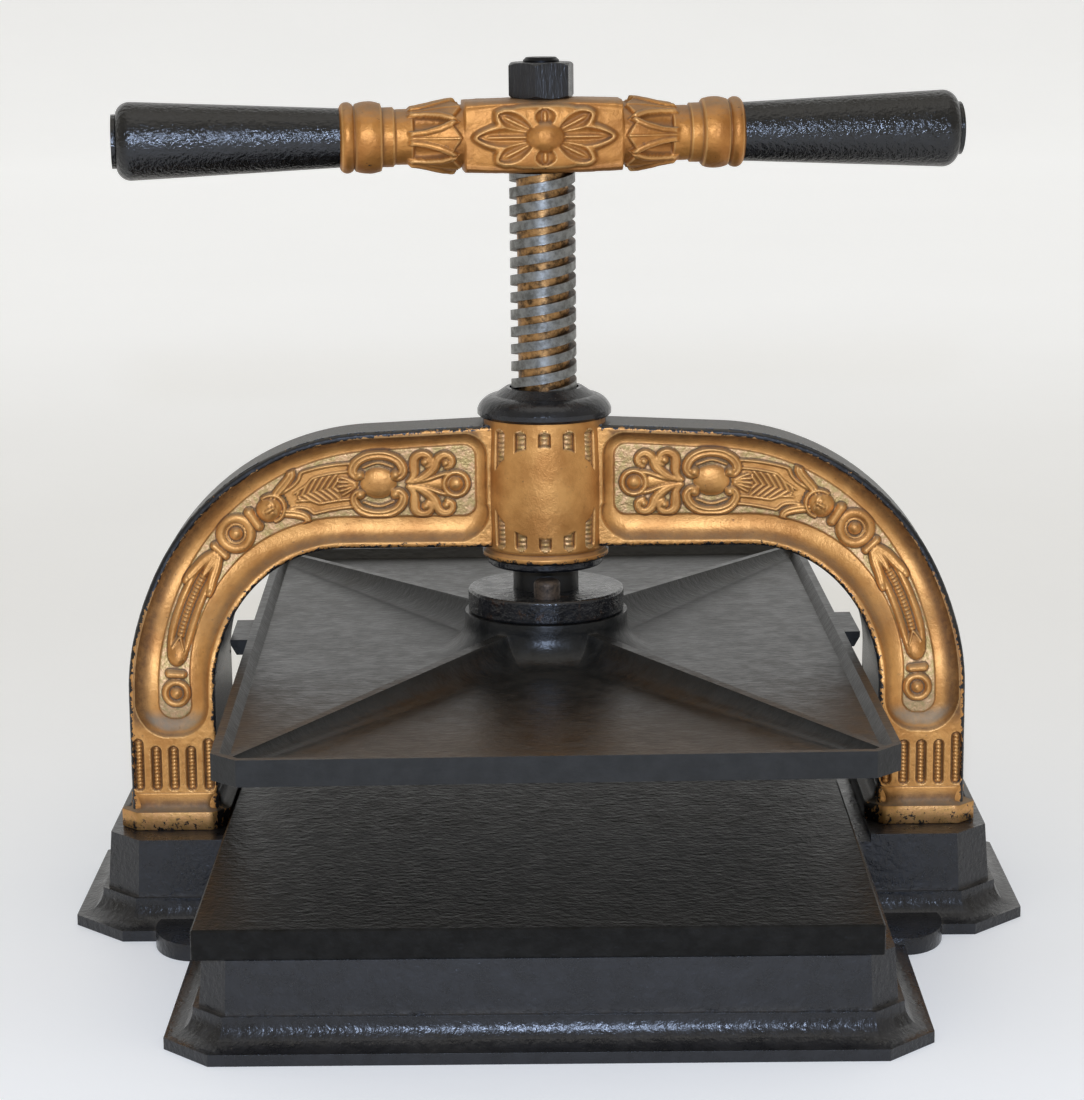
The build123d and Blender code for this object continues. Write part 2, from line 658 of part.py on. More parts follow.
corner_radius = nut_flats / sqrt(3)
with BuildPart() as handle_nut:
    with BuildSketch(Plane.XY.offset(nut_base).rotated((0, 0, nut_turn))):
        RegularPolygon(nut_flats / 2, 6, major_radius=False, rotation=30)
        Circle(stud_radius + fit_gap, mode=Mode.SUBTRACT)
    extrude(amount=nut_height)
    # both ends are turned to a cone at 30 degrees
    with BuildSketch(Plane.XZ):
        with BuildLine():
            Polyline(
                (0, nut_base),
                (corner_radius - 2, nut_base),
                (corner_radius + 0.5, nut_base + 1.5),
                (corner_radius + 0.5, nut_base + nut_height - 1.5),
                (corner_radius - 2, nut_base + nut_height),
                (0, nut_base + nut_height),
                close=True,
            )
        make_face()
    revolve(axis=Axis.Z, mode=Mode.INTERSECT)
write(handle_nut.part, "handle_nut")
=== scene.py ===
from math import cos, pi, radians, sin

import bpy
import numpy as np
from mathutils import Matrix, Vector


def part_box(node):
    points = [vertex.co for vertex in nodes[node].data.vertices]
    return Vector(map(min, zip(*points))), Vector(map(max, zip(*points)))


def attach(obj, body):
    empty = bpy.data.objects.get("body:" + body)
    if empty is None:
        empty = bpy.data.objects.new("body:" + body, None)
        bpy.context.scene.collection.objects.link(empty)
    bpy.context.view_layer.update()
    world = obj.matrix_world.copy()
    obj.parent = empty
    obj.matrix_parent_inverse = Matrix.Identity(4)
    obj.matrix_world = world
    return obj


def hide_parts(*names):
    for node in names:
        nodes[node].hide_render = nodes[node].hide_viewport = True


# Looks of the screw press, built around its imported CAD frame. Shapes are worked out in
# millimetres in the frame's own axes (front is -Y) and become metres when a mesh is made.
# The backdrop, the lights and the camera are placed in metres.

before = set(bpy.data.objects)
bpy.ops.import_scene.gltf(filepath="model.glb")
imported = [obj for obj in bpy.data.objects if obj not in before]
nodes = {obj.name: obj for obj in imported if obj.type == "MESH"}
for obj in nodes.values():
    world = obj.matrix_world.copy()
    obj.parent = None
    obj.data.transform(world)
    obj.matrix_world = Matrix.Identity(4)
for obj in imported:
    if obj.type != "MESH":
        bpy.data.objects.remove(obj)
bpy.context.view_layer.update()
MM = 0.001


def box_mm(node):
    """Lowest and highest corner of a CAD node, in millimetres."""
    low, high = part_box(node)
    return np.array(low) / MM, np.array(high) / MM


arch_low, arch_high = box_mm("arch_frame")
pad_bottom, boss_top = arch_low[2], arch_high[2]
leg_middle, leg_half = 156.0, 18.0
pad_half_x, pad_half_y, pad_cut, pad_height = arch_high[0] - leg_middle, arch_high[1], 7.0, 8.0
leg_in, leg_out = leg_middle - leg_half, leg_middle + leg_half
crown_bottom = 153.2
inner_radius, outer_radius = 53.5, 104.0
inner_centre = np.array([leg_in - inner_radius, crown_bottom - inner_radius])
outer_centre = np.array([leg_out - outer_radius, 98.5])
outer_arc_start = 87.4
crown_half_depth, leg_half_depth = 13.5, 35.0
flare_top, flare_bottom = 160.0, 90.0
boss_radius, bore_radius, boss_bottom = 26.0, 20.0, 147.7
thread_radius, core_radius, neck_top, stud_bottom = 13.7, 10.7, 150.0, 339.0

# The line that runs along the middle of an arm: straight, a quarter circle, straight
mid_centre = (inner_centre + outer_centre) / 2
mid_radius = (inner_radius + outer_radius) / 2
arc_begin = mid_centre[0]
arc_end = arc_begin + mid_radius * pi / 2


# --- number helpers ---------------------------------------------------------------------------


def ease(x, low, high):
    """0 below low, 1 above high and a smooth step between."""
    t = np.clip((x - low) / (high - low), 0, 1)
    return t * t * (3 - 2 * t)


def lattice(i, j, k, seed):
    """A repeatable random number from 0 to 1 at each lattice point."""
    h = (i * 374761393 + j * 668265263 + k * 1440662683 + seed * 974634777) & 0xFFFFFFFF
    h = ((h ^ (h >> 13)) * 1274126177) & 0xFFFFFFFF
    return ((h ^ (h >> 16)) & 0xFFFF) / 65535.0


def grain(x, y, z, size, seed=0):
    """Smooth noise from -1 to 1 with features about size across."""
    x, y, z = np.broadcast_arrays(x / size, y / size, z / size)
    base = [np.floor(c).astype(np.int64) for c in (x, y, z)]
    part = [c - b for c, b in zip((x, y, z), base)]
    part = [f * f * (3 - 2 * f) for f in part]
    total = 0.0
    for i in (0, 1):
        for j in (0, 1):
            for k in (0, 1):
                weight = 1.0
                for f, step in zip(part, (i, j, k)):
                    weight = weight * (f if step else 1 - f)
                total = total + weight * lattice(base[0] + i, base[1] + j, base[2] + k, seed)
    return 2 * total - 1


def blur(height, times=2):
    """A height field averaged over its near neighbours."""
    for _ in range(times):
        for axis in (0, 1):
            height = (np.roll(height, 1, axis) + 2 * height + np.roll(height, -1, axis)) / 4
    return height


# --- relief helpers: heights over a plane with coordinates s and v --------------------------------


def dome(s, v, at, radii, height):
    """A round or oval bump."""
    n = ((s - at[0]) / radii[0]) ** 2 + ((v - at[1]) / radii[1]) ** 2
    return height * np.sqrt(np.clip(1 - n, 0, 1))


def ring(s, v, at, radius, half, height):
    """A half-round ring."""
    n = (np.hypot(s - at[0], v - at[1]) - radius) / half
    return height * np.sqrt(np.clip(1 - n * n, 0, 1))


def rounded(points, rounds=3):
    """A smooth line through the run of given points, by corner cutting."""
    line = np.array(points, float)
    for _ in range(rounds):
        a, b = line[:-1], line[1:]
        cut = np.empty((2 * len(a), line.shape[1]))
        cut[0::2], cut[1::2] = 0.75 * a + 0.25 * b, 0.25 * a + 0.75 * b
        line = np.vstack([line[:1], cut, line[-1:]])
    return line


def stroke(s, v, points, height, crease=0.0):
    """A raised half-round band along a line. Each point is (s, v, half width)."""
    line = rounded(points)
    reach = line[:, 2].max()
    near = (s > line[:, 0].min() - reach) & (s < line[:, 0].max() + reach)
    near &= (v > line[:, 1].min() - reach) & (v < line[:, 1].max() + reach)
    ps, pv = s[near], v[near]
    best = np.full(ps.shape, 9.0)
    for (s0, v0, w0), (s1, v1, w1) in zip(line[:-1], line[1:]):
        ds, dv = s1 - s0, v1 - v0
        t = np.clip(((ps - s0) * ds + (pv - v0) * dv) / (ds * ds + dv * dv + 1e-9), 0, 1)
        n = np.hypot(ps - s0 - t * ds, pv - v0 - t * dv) / (w0 + t * (w1 - w0))
        best = np.minimum(best, n)
    raised = np.zeros_like(s)
    raised[near] = np.maximum(
        height * np.sqrt(np.clip(1 - best * best, 0, 1)) - crease * np.exp(-((best / 0.28) ** 2)), 0
    )
    return raised


# --- meshes -----------------------------------------------------------------------------------


class Shell:
    """Collects closed surfaces with named values at their points, and makes one object of them."""

    def __init__(self):
        self.points, self.faces, self.values, self.count = [], [], {}, 0

    def tube(self, rings, values, ends="capped"):
        """rings is rows x columns x 3, each row closed. ends is capped, or joined to each other."""
        rows, columns = rings.shape[:2]
        index = np.arange(rows * columns).reshape(rows, columns)
        if ends == "joined":
            index = np.vstack([index, index[:1]])
        a, b = index[:-1], index[1:]
        quads = np.stack([a, b, np.roll(b, -1, 1), np.roll(a, -1, 1)], -1).reshape(-1, 4)
        flat = rings.reshape(-1, 3)
        p = flat[quads]
        volume = np.einsum("ij,ij->i", p[:, 0], np.cross(p[:, 1] - p[:, 0], p[:, 2] - p[:, 0])).sum()
        volume += np.einsum("ij,ij->i", p[:, 0], np.cross(p[:, 2] - p[:, 0], p[:, 3] - p[:, 0])).sum()
        faces = quads.tolist()
        added = [flat]
        if ends == "capped":
            for row, turn in ((index[0], 1), (index[-1], -1)):
                centre = rows * columns + (turn < 0)
                loop = row[::turn]
                faces += [[centre, int(i), int(j)] for i, j in zip(loop, np.roll(loop, -1))]
                added.append(flat[row].mean(0, keepdims=True))
        if volume < 0:
            faces = [f[::-1] for f in faces]
        self.faces += [[i + self.count for i in f] for f in faces]
        extra = sum(len(x) for x in added) - len(flat)
        for name, value in values.items():
            full = np.broadcast_to(value, (rows, columns)).reshape(-1)
            self.values.setdefault(name, []).append(np.append(full, np.zeros(extra)))
        self.points += added
        self.count += len(flat) + extra
        return self

    def build(self, name, material, body, stands_for=None):
        """Makes the object, which rides on a CAD body and may stand for a CAD node."""
        mesh = bpy.data.meshes.new(name)
        mesh.from_pydata((np.vstack(self.points) * MM).tolist(), [], self.faces)
        mesh.polygons.foreach_set("use_smooth", [True] * len(mesh.polygons))
        for key, parts in self.values.items():
            layer = mesh.attributes.new(key, "FLOAT", "POINT")
            layer.data.foreach_set("value", np.concatenate(parts).astype(np.float32))
        mesh.update()
        piece = bpy.data.objects.new(name, mesh)
        bpy.context.scene.collection.objects.link(piece)
        piece.data.materials.append(material)
        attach(piece, body)
        if stands_for:
            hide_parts(stands_for)
        return piece


# --- materials ----------------------------------------------------------------------------------


class Paint:
    """A node material under construction. A method returns the socket that holds its result."""

    def __init__(self, name):
        self.material = bpy.data.materials.new(name)
        self.material.use_nodes = True
        self.tree = self.material.node_tree
        self.shader = self.tree.nodes["Principled BSDF"]
        self.place = self.make("ShaderNodeTexCoord")

    def make(self, kind, settings=None, **inputs):
        made = self.tree.nodes.new(kind)
        for key, value in (settings or {}).items():
            setattr(made, key, value)
        for key, value in inputs.items():
            self.fill(made.inputs[int(key[1:]) if key[1:].isdigit() else key], value)
        return made

    def fill(self, socket, value):
        """Links the socket to another one, or sets its own value."""
        if isinstance(value, bpy.types.NodeSocket):
            self.tree.links.new(value, socket)
        elif isinstance(value, tuple) and socket.type == "RGBA":
            socket.default_value = (*value, 1.0)
        else:
            socket.default_value = value

    def noise(self, size, detail=3.0, stretch=(1, 1, 1), seed=0.0, rough=0.55):
        """Noise with features of that size in millimetres, from 0 to 1."""
        scale = tuple(c / (size * MM) for c in stretch)
        moved = self.make(
            "ShaderNodeMapping", _0=self.place.outputs["Object"], _1=(seed, seed, seed), _3=scale
        )
        made = self.make(
            "ShaderNodeTexNoise", Vector=moved.outputs[0], Scale=1.0, Detail=detail, Roughness=rough
        )
        return made.outputs["Fac"]

    def value(self, name):
        """A named value of the mesh's points."""
        return self.make("ShaderNodeAttribute", {"attribute_name": name}).outputs["Fac"]

    def maths(self, operation, a, b=0.0, clamp=False):
        settings = {"operation": operation, "use_clamp": clamp}
        return self.make("ShaderNodeMath", settings, _0=a, _1=b).outputs[0]

    def times(self, a, b):
        return self.maths("MULTIPLY", a, b)

    def larger(self, a, b, clamp=False):
        return self.maths("MAXIMUM", a, b, clamp)

    def ramp(self, value, low, high, to_low=0.0, to_high=1.0):
        """to_low where value is at low, to_high where it is at high, and a smooth step between."""
        settings = {"interpolation_type": "SMOOTHSTEP"}
        made = self.make("ShaderNodeMapRange", settings, _0=value, _1=low, _2=high, _3=to_low, _4=to_high)
        return made.outputs[0]

    def mix(self, share, a, b):
        made = self.make("ShaderNodeMix", {"data_type": "RGBA"})
        self.fill(made.inputs[0], share)
        self.fill(made.inputs[6], a)
        self.fill(made.inputs[7], b)
        return made.outputs[2]

    def normal_part(self, part):
        """A part of the surface normal in the piece's own axes: 0 is x, 1 is y, 2 is z."""
        return self.make("ShaderNodeSeparateXYZ", _0=self.place.outputs["Normal"]).outputs[part]

    def place_part(self, part):
        return self.make("ShaderNodeSeparateXYZ", _0=self.place.outputs["Object"]).outputs[part]

    def corners(self, reach):
        """1 deep in corners and hollows, 0 on open faces; reach in millimetres."""
        settings = {"samples": 6, "only_local": True}
        made = self.make("ShaderNodeAmbientOcclusion", settings, Distance=reach * MM)
        return self.ramp(made.outputs["AO"], 0.9, 0.35)

    def bump(self, height, depth, under=None):
        """Bump of that depth in millimetres for a height from 0 to 1."""
        made = self.make("ShaderNodeBump", Height=height, Distance=depth * MM)
        if under is not None:
            self.fill(made.inputs["Normal"], under)
        return made.outputs[0]

    def finish(self, colour, roughness, metallic, normal, specular=0.5, coat=0.0, coat_roughness=0.1):
        shader = self.shader
        self.fill(shader.inputs["Base Color"], colour)
        self.fill(shader.inputs["Roughness"], roughness)
        self.fill(shader.inputs["Metallic"], metallic)
        self.fill(shader.inputs["Normal"], normal)
        shader.inputs["Specular IOR Level"].default_value = specular
        shader.inputs["Coat Weight"].default_value = coat
        shader.inputs["Coat Roughness"].default_value = coat_roughness
        return self.material


DUST = (0.118, 0.100, 0.074)


def black_enamel(
    name, colour, gloss, pebble, dust, lumps=0.28, stretch=(1, 1, 1), specular=0.36, rust=0.0
):
    """Black paint on cast iron: pebbled, with dust in hollows and specks of it on upward faces.

    pebble is the size of the paint's lumps and lumps their height, in millimetres.
    """
    paint = Paint(name)
    times = paint.times
    pebbles = paint.noise(pebble, 2.0, stretch=stretch, seed=3.1)
    fine = paint.noise(pebble * 0.28, 2.0, stretch=stretch, seed=8.7)
    cloud = paint.noise(45.0, 4.0, seed=1.3)
    patch = paint.noise(8.0, 5.0, seed=5.9, rough=0.65)
    worn = tuple(c * 1.5 + 0.003 for c in colour)
    shade = paint.mix(paint.ramp(patch, 0.35, 0.7), colour, worn)
    upward = paint.ramp(paint.normal_part(2), 0.3, 0.95)
    settled = times(upward, paint.ramp(patch, 0.3, 0.75, 0.15, 1.0))
    settled = times(settled, paint.ramp(cloud, 0.35, 0.65, 0.2, 1.0))
    near, wide = paint.corners(3.5), paint.corners(13.0)
    caught = paint.maths("ADD", near, times(times(wide, upward), 0.55), True)
    caught = times(caught, paint.ramp(patch, 0.3, 0.65, 0.35, 1.0))
    dirt = paint.larger(times(settled, dust * 0.4), times(caught, dust * 1.6))
    specks = times(paint.ramp(paint.noise(1.5, 1.0, seed=12.4), 0.70, 0.78), upward)
    dirt = paint.larger(dirt, times(specks, dust), True)
    shade = paint.mix(dirt, shade, DUST)
    if rust:
        rusty = times(paint.ramp(paint.noise(6.0, 5.0, seed=21.0, rough=0.7), 0.55, 0.72), rust)
        shade = paint.mix(rusty, shade, (0.075, 0.036, 0.016))
    rough = paint.maths("ADD", paint.ramp(patch, 0.3, 0.7, gloss, gloss + 0.1), times(dirt, 0.5), True)
    relief = paint.bump(fine, lumps * 0.22, paint.bump(pebbles, lumps))
    return paint.finish(shade, rough, 0.0, relief, specular=specular)


def gold_paint(name, light, deep, age=0.0, crease_shade=0.78):
    """Aged bronze-gold paint. Point values say where it lies, where dirt and painted shade are and where it
    is chipped.

    age darkens it in patches, and the last argument sets how dark the relief's inner corners are painted:
    painted shade.
    """
    paint = Paint(name)
    times = paint.times
    gold, field = paint.value("gold"), paint.value("field")
    crest, shade_and_grime = paint.value("crest"), paint.value("shade_and_grime")
    cloud = paint.noise(15.0, 4.0, seed=1.7)
    patch = paint.noise(3.0, 5.0, seed=4.4, rough=0.7)
    sand = paint.noise(0.55, 2.0, seed=9.2)
    shade = paint.mix(paint.ramp(cloud, 0.3, 0.7), light, deep)
    shade = paint.mix(paint.ramp(patch, 0.5, 0.85, age, age + 0.4), shade, (0.25, 0.105, 0.030))
    pale = paint.mix(paint.ramp(patch, 0.38, 0.62), (0.68, 0.42, 0.22), (0.44, 0.33, 0.13))
    shade = paint.mix(times(field, 0.85), shade, pale)
    # painted shade: the hollows, slots and sides turned from the light, with some dirt, and the relief's
    # inner corners are painted dark brown
    dark = times(shade_and_grime, paint.ramp(patch, 0.2, 0.7, 0.65, 1.0))
    dark = paint.larger(times(paint.ramp(crest, -0.12, -0.85), crease_shade), dark, True)
    shade = paint.mix(dark, shade, (0.070, 0.026, 0.008))
    # painted highlight: the relief's raised crests are painted lighter
    crest_highlight = times(paint.ramp(crest, 0.15, 0.8), 0.45)
    shade = paint.mix(crest_highlight, shade, (0.82, 0.48, 0.18))
    upward = paint.ramp(paint.normal_part(2), 0.35, 0.9)
    dusty = paint.larger(paint.value("dust"), times(upward, 0.55), True)
    dusty = times(dusty, paint.ramp(patch, 0.2, 0.65, 0.6, 1.0))
    shade = paint.mix(dusty, shade, (0.23, 0.20, 0.14))
    # where the gold ends, its edge is ragged, and chips show the black under it
    ragged = paint.ramp(paint.noise(2.2, 5.0, seed=6.6, rough=0.65), 0.3, 0.7, -0.5, 0.5)
    covered = paint.ramp(paint.maths("ADD", gold, ragged), 0.44, 0.54)
    flakes = paint.ramp(paint.noise(2.4, 6.0, seed=15.0, rough=0.72), 0.3, 0.7, -0.5, 0.5)
    unchipped = paint.ramp(paint.maths("ADD", paint.value("chips"), flakes), 0.66, 0.60)
    covered = times(covered, unchipped)
    black = paint.mix(paint.ramp(patch, 0.45, 0.7), (0.006, 0.006, 0.007), (0.018, 0.017, 0.017))
    black = paint.mix(times(upward, 0.4), black, DUST)
    shade = paint.mix(covered, black, shade)
    # the painted shade, the dirt and the dust also make the paint rougher and less metallic
    shade_grime_and_dust = paint.larger(dark, dusty)
    rough = paint.maths("ADD", times(shade_grime_and_dust, 0.2), paint.ramp(covered, 0.0, 1.0, 0.32, 0.42), True)
    metallic = times(covered, paint.ramp(shade_grime_and_dust, 0.0, 1.0, 0.66, 0.15))
    coarse = times(paint.noise(1.1, 3.0, seed=11.0), paint.ramp(field, 0.0, 1.0, 0.25, 1.0))
    relief = paint.bump(sand, 0.10, paint.bump(coarse, 0.30))
    return paint.finish(shade, rough, metallic, relief, specular=0.4)


def thread_metal(name):
    """The spindle: worn steel crests, old gold paint, and black grease with painted shade on the thread's
    flanks.
    """
    paint = Paint(name)
    x, y, height = (paint.place_part(part) for part in range(3))
    radius = paint.maths("SQRT", paint.maths("ADD", paint.times(x, x), paint.times(y, y)))
    crest = paint.ramp(radius, (thread_radius - 0.45) * MM, (thread_radius - 0.1) * MM)
    turned = paint.noise(0.5, 2.0, stretch=(0.15, 0.15, 2.0), seed=2.0)
    patch = paint.noise(4.0, 5.0, seed=7.0, rough=0.7)
    steel = paint.mix(paint.ramp(patch, 0.35, 0.7), (0.25, 0.25, 0.235), (0.11, 0.105, 0.09))
    gold = paint.mix(paint.ramp(patch, 0.38, 0.66), (0.44, 0.235, 0.085), (0.07, 0.038, 0.015))
    shade = paint.mix(crest, gold, steel)
    # painted shade: the thread's flanks are painted near black, as grease in the shade
    off_core = paint.ramp(radius, (core_radius + 0.05) * MM, (core_radius + 0.3) * MM)
    off_crest = paint.ramp(radius, (thread_radius - 0.1) * MM, (thread_radius - 0.4) * MM)
    flank = paint.times(off_core, off_crest)
    shade = paint.mix(paint.times(flank, 0.85), shade, (0.02, 0.014, 0.008))
    above_neck = paint.ramp(height, neck_top * MM, (neck_top + 3) * MM)
    shade = paint.mix(above_neck, (0.035, 0.033, 0.030), shade)
    on_stud = paint.ramp(height, (stud_bottom - 1) * MM, stud_bottom * MM)
    shade = paint.mix(on_stud, shade, (0.007, 0.007, 0.008))
    rough = paint.ramp(patch, 0.3, 0.7, 0.3, 0.5)
    return paint.finish(shade, rough, 0.75, paint.bump(turned, 0.06, paint.bump(patch, 0.1)))


def bare_metal(name, colour, dark, rough, metallic=0.9, size=2.5):
    """Dull metal with stains and fine scratches."""
    paint = Paint(name)
    patch = paint.noise(size, 5.0, seed=3.0, rough=0.7)
    scratch = paint.noise(0.6, 2.0, stretch=(1, 1, 6), seed=5.0)
    shade = paint.mix(paint.ramp(patch, 0.35, 0.7), colour, dark)
    dullness = paint.ramp(patch, 0.3, 0.7, rough, rough + 0.2)
    relief = paint.bump(scratch, 0.05, paint.bump(patch, 0.12))
    return paint.finish(shade, dullness, metallic, relief)


black = (0.0062, 0.0064, 0.0078)
gold = gold_paint("gold_paint", (0.70, 0.350, 0.105), (0.47, 0.205, 0.052))
bar_gold = gold_paint(
    "bar_gold", (0.66, 0.290, 0.066), (0.45, 0.175, 0.036), age=0.28, crease_shade=0.5
)
base_black = black_enamel(
    "base_black", black, gloss=0.24, pebble=2.4, dust=0.34, lumps=0.36, specular=0.5
)
bed_black = black_enamel(
    "bed_black", (0.0062, 0.0056, 0.0046), gloss=0.30, pebble=2.7, dust=0.10, lumps=0.55,
    stretch=(0.85, 1.15, 1), specular=0.12,
)
platen_black = black_enamel(
    "platen_black", (0.0080, 0.0080, 0.0074), gloss=0.28, pebble=3.0, dust=0.26, lumps=0.22,
    stretch=(0.65, 1.2, 1), specular=0.33,
)
cap_black = black_enamel(
    "cap_black", black, gloss=0.18, pebble=3.0, dust=0.36, specular=0.5
)
ring_black = black_enamel(
    "ring_black", (0.0075, 0.0075, 0.0082), gloss=0.17, pebble=2.2, dust=0.50, lumps=0.36,
    specular=0.6, rust=0.6,
)
nut_black = black_enamel(
    "nut_black", black, gloss=0.26, pebble=2.2, dust=0.15, lumps=0.6,
    stretch=(1.6, 1.6, 0.3), specular=0.5,
)
grip_black = black_enamel(
    "grip_black", (0.0028, 0.0028, 0.0030), gloss=0.14, pebble=1.8, dust=0.03, lumps=0.50,
    specular=0.56,
)
screw_metal = bare_metal("screw_metal", (0.12, 0.085, 0.06), (0.03, 0.025, 0.02), 0.45, 0.6)
bolt_metal = bare_metal("bolt_metal", (0.34, 0.33, 0.32), (0.12, 0.10, 0.08), 0.4)
disc_bronze = bare_metal("disc_bronze", (0.45, 0.28, 0.12), (0.16, 0.10, 0.05), 0.38)

finishes = {
    "base_casting": base_black, "bed_plate": bed_black, "nut_cap": cap_black, "spindle_nut": cap_black,
    "nut_lock_screw": screw_metal, "frame_bolts": bolt_metal, "frame_washers": bolt_metal,
    "bed_screws": bolt_metal, "bed_washers": bolt_metal, "platen": platen_black,
    "thrust_disc": disc_bronze, "keeper_ring": ring_black, "keeper_screws": screw_metal,
    "spindle": thread_metal("thread_metal"), "grip_left": grip_black, "grip_right": grip_black,
    "grip_disc_left": grip_black, "grip_disc_right": grip_black, "handle_nut": nut_black,
}
for node, material in finishes.items():
    nodes[node].data.materials.clear()
    nodes[node].data.materials.append(material)


def soften(node, width):
    """Round a CAD node's sharp edges a little, as paint on a casting does."""
    weld = nodes[node].modifiers.new("weld", "WELD")
    weld.merge_threshold = 0.01 * MM
    bevel = nodes[node].modifiers.new("bevel", "BEVEL")
    bevel.width, bevel.segments = width * MM, 3
    bevel.limit_method, bevel.angle_limit = "ANGLE", radians(28)
    bevel.harden_normals = True


for node, width in (("base_casting", 1.1), ("bed_plate", 0.9), ("platen", 1.0), ("handle_nut", 0.5)):
    soften(node, width)

# --- the arch's arms -----------------------------------------------------------------------------

row_step, front_columns, back_columns, side_columns = 0.45, 116, 36, 8
arm_start, leg_foot = 20.6, 46.2
rim, cove_depth, field_depth = 2.7, 4.6, 4.0
field_start, field_stop = 28.6, 215.2
field_corners, arm_middle = (5.5, 6.6), 120.0
start_cove, stop_cove = 4.6, 6.6
# Measures that change along the arm: places s, then the measure there. The first two are the
# field's distances from the arm's edges, then come the ornament's own middle line and the width
# of the black line along the arm's outer edge.
field_gap_in = ([77, 139, 182, 215], [12.8, 12.6, 11.3, 9.6])
field_gap_out = ([40, 77, 139, 182], [7.6, 8.4, 10.8, 11.8])
ornament_middle = ([70, 140, 200], [2.1, 1.2, -1.6])
black_edge = ([50, 90, 160, 195], [1.0, 3.0, 2.8, 1.2])
edge_round = 1.8
flute_pitch, flute_half, rod_half = 7.3, 2.25, 1.45
flute_low, flute_high, outer_flute_rise, bead_pitch = 57.2, 72.0, 3.2, 1.6
moulding_height, moulding_inset, moulding_lap = 7.4, 1.4, 0.15


def arm_edges(s):
    """Points (x, z) on the arm's inner and outer edge for places s along its middle line."""
    straight = np.clip(s / arc_begin, 0, 1)
    turn = np.clip((s - arc_begin) / mid_radius, 0, pi / 2)
    down = np.clip((s - arc_end) / (inner_centre[1] - leg_foot), 0, 1)
    first = radians(outer_arc_start)
    outer_turn = first * (1 - turn / (pi / 2))
    top_x = outer_centre[0] + outer_radius * cos(first)
    top_z = outer_centre[1] + outer_radius * sin(first) + top_x * sin(pi / 2 - first) * (1 - straight)
    inner = [
        inner_centre[0] * straight + inner_radius * np.sin(turn),
        crown_bottom - inner_radius * (1 - np.cos(turn)) - down * (inner_centre[1] - leg_foot),
    ]
    on_arc = turn > 0
    outer = [
        np.where(on_arc, outer_centre[0] + outer_radius * np.cos(outer_turn), top_x * straight),
        np.where(on_arc, outer_centre[1] + outer_radius * np.sin(outer_turn), top_z)
        - down * (outer_centre[1] - leg_foot),
    ]
    return np.stack(inner, -1), np.stack(outer, -1)


def half_depth(z):
    """Half of the arch's depth front to back: narrow crown, wide legs, two arcs between."""
    spread, drop = leg_half_depth - crown_half_depth, flare_top - flare_bottom
    radius = (spread**2 + drop**2) / (4 * spread)
    upper = np.clip(flare_top - z, 0, drop / 2)
    lower = np.clip(z - flare_bottom, 0, drop / 2)
    high = crown_half_depth + radius - np.sqrt(radius**2 - upper**2)
    low = leg_half_depth - radius + np.sqrt(radius**2 - lower**2)
    return np.where(z > (flare_top + flare_bottom) / 2, high, low)


def along_and_across(x, z):
    """The place s along the middle line and the distance v outwards from it."""
    dx, dz = x - mid_centre[0], z - mid_centre[1]
    crown, leg = dx < 0, dz < 0
    s = np.where(crown, x, np.where(leg, arc_end - dz, arc_begin + mid_radius * np.arctan2(dx, dz)))
    v = np.where(crown, dz, np.where(leg, dx, np.hypot(dx, dz))) - mid_radius
    return s, v


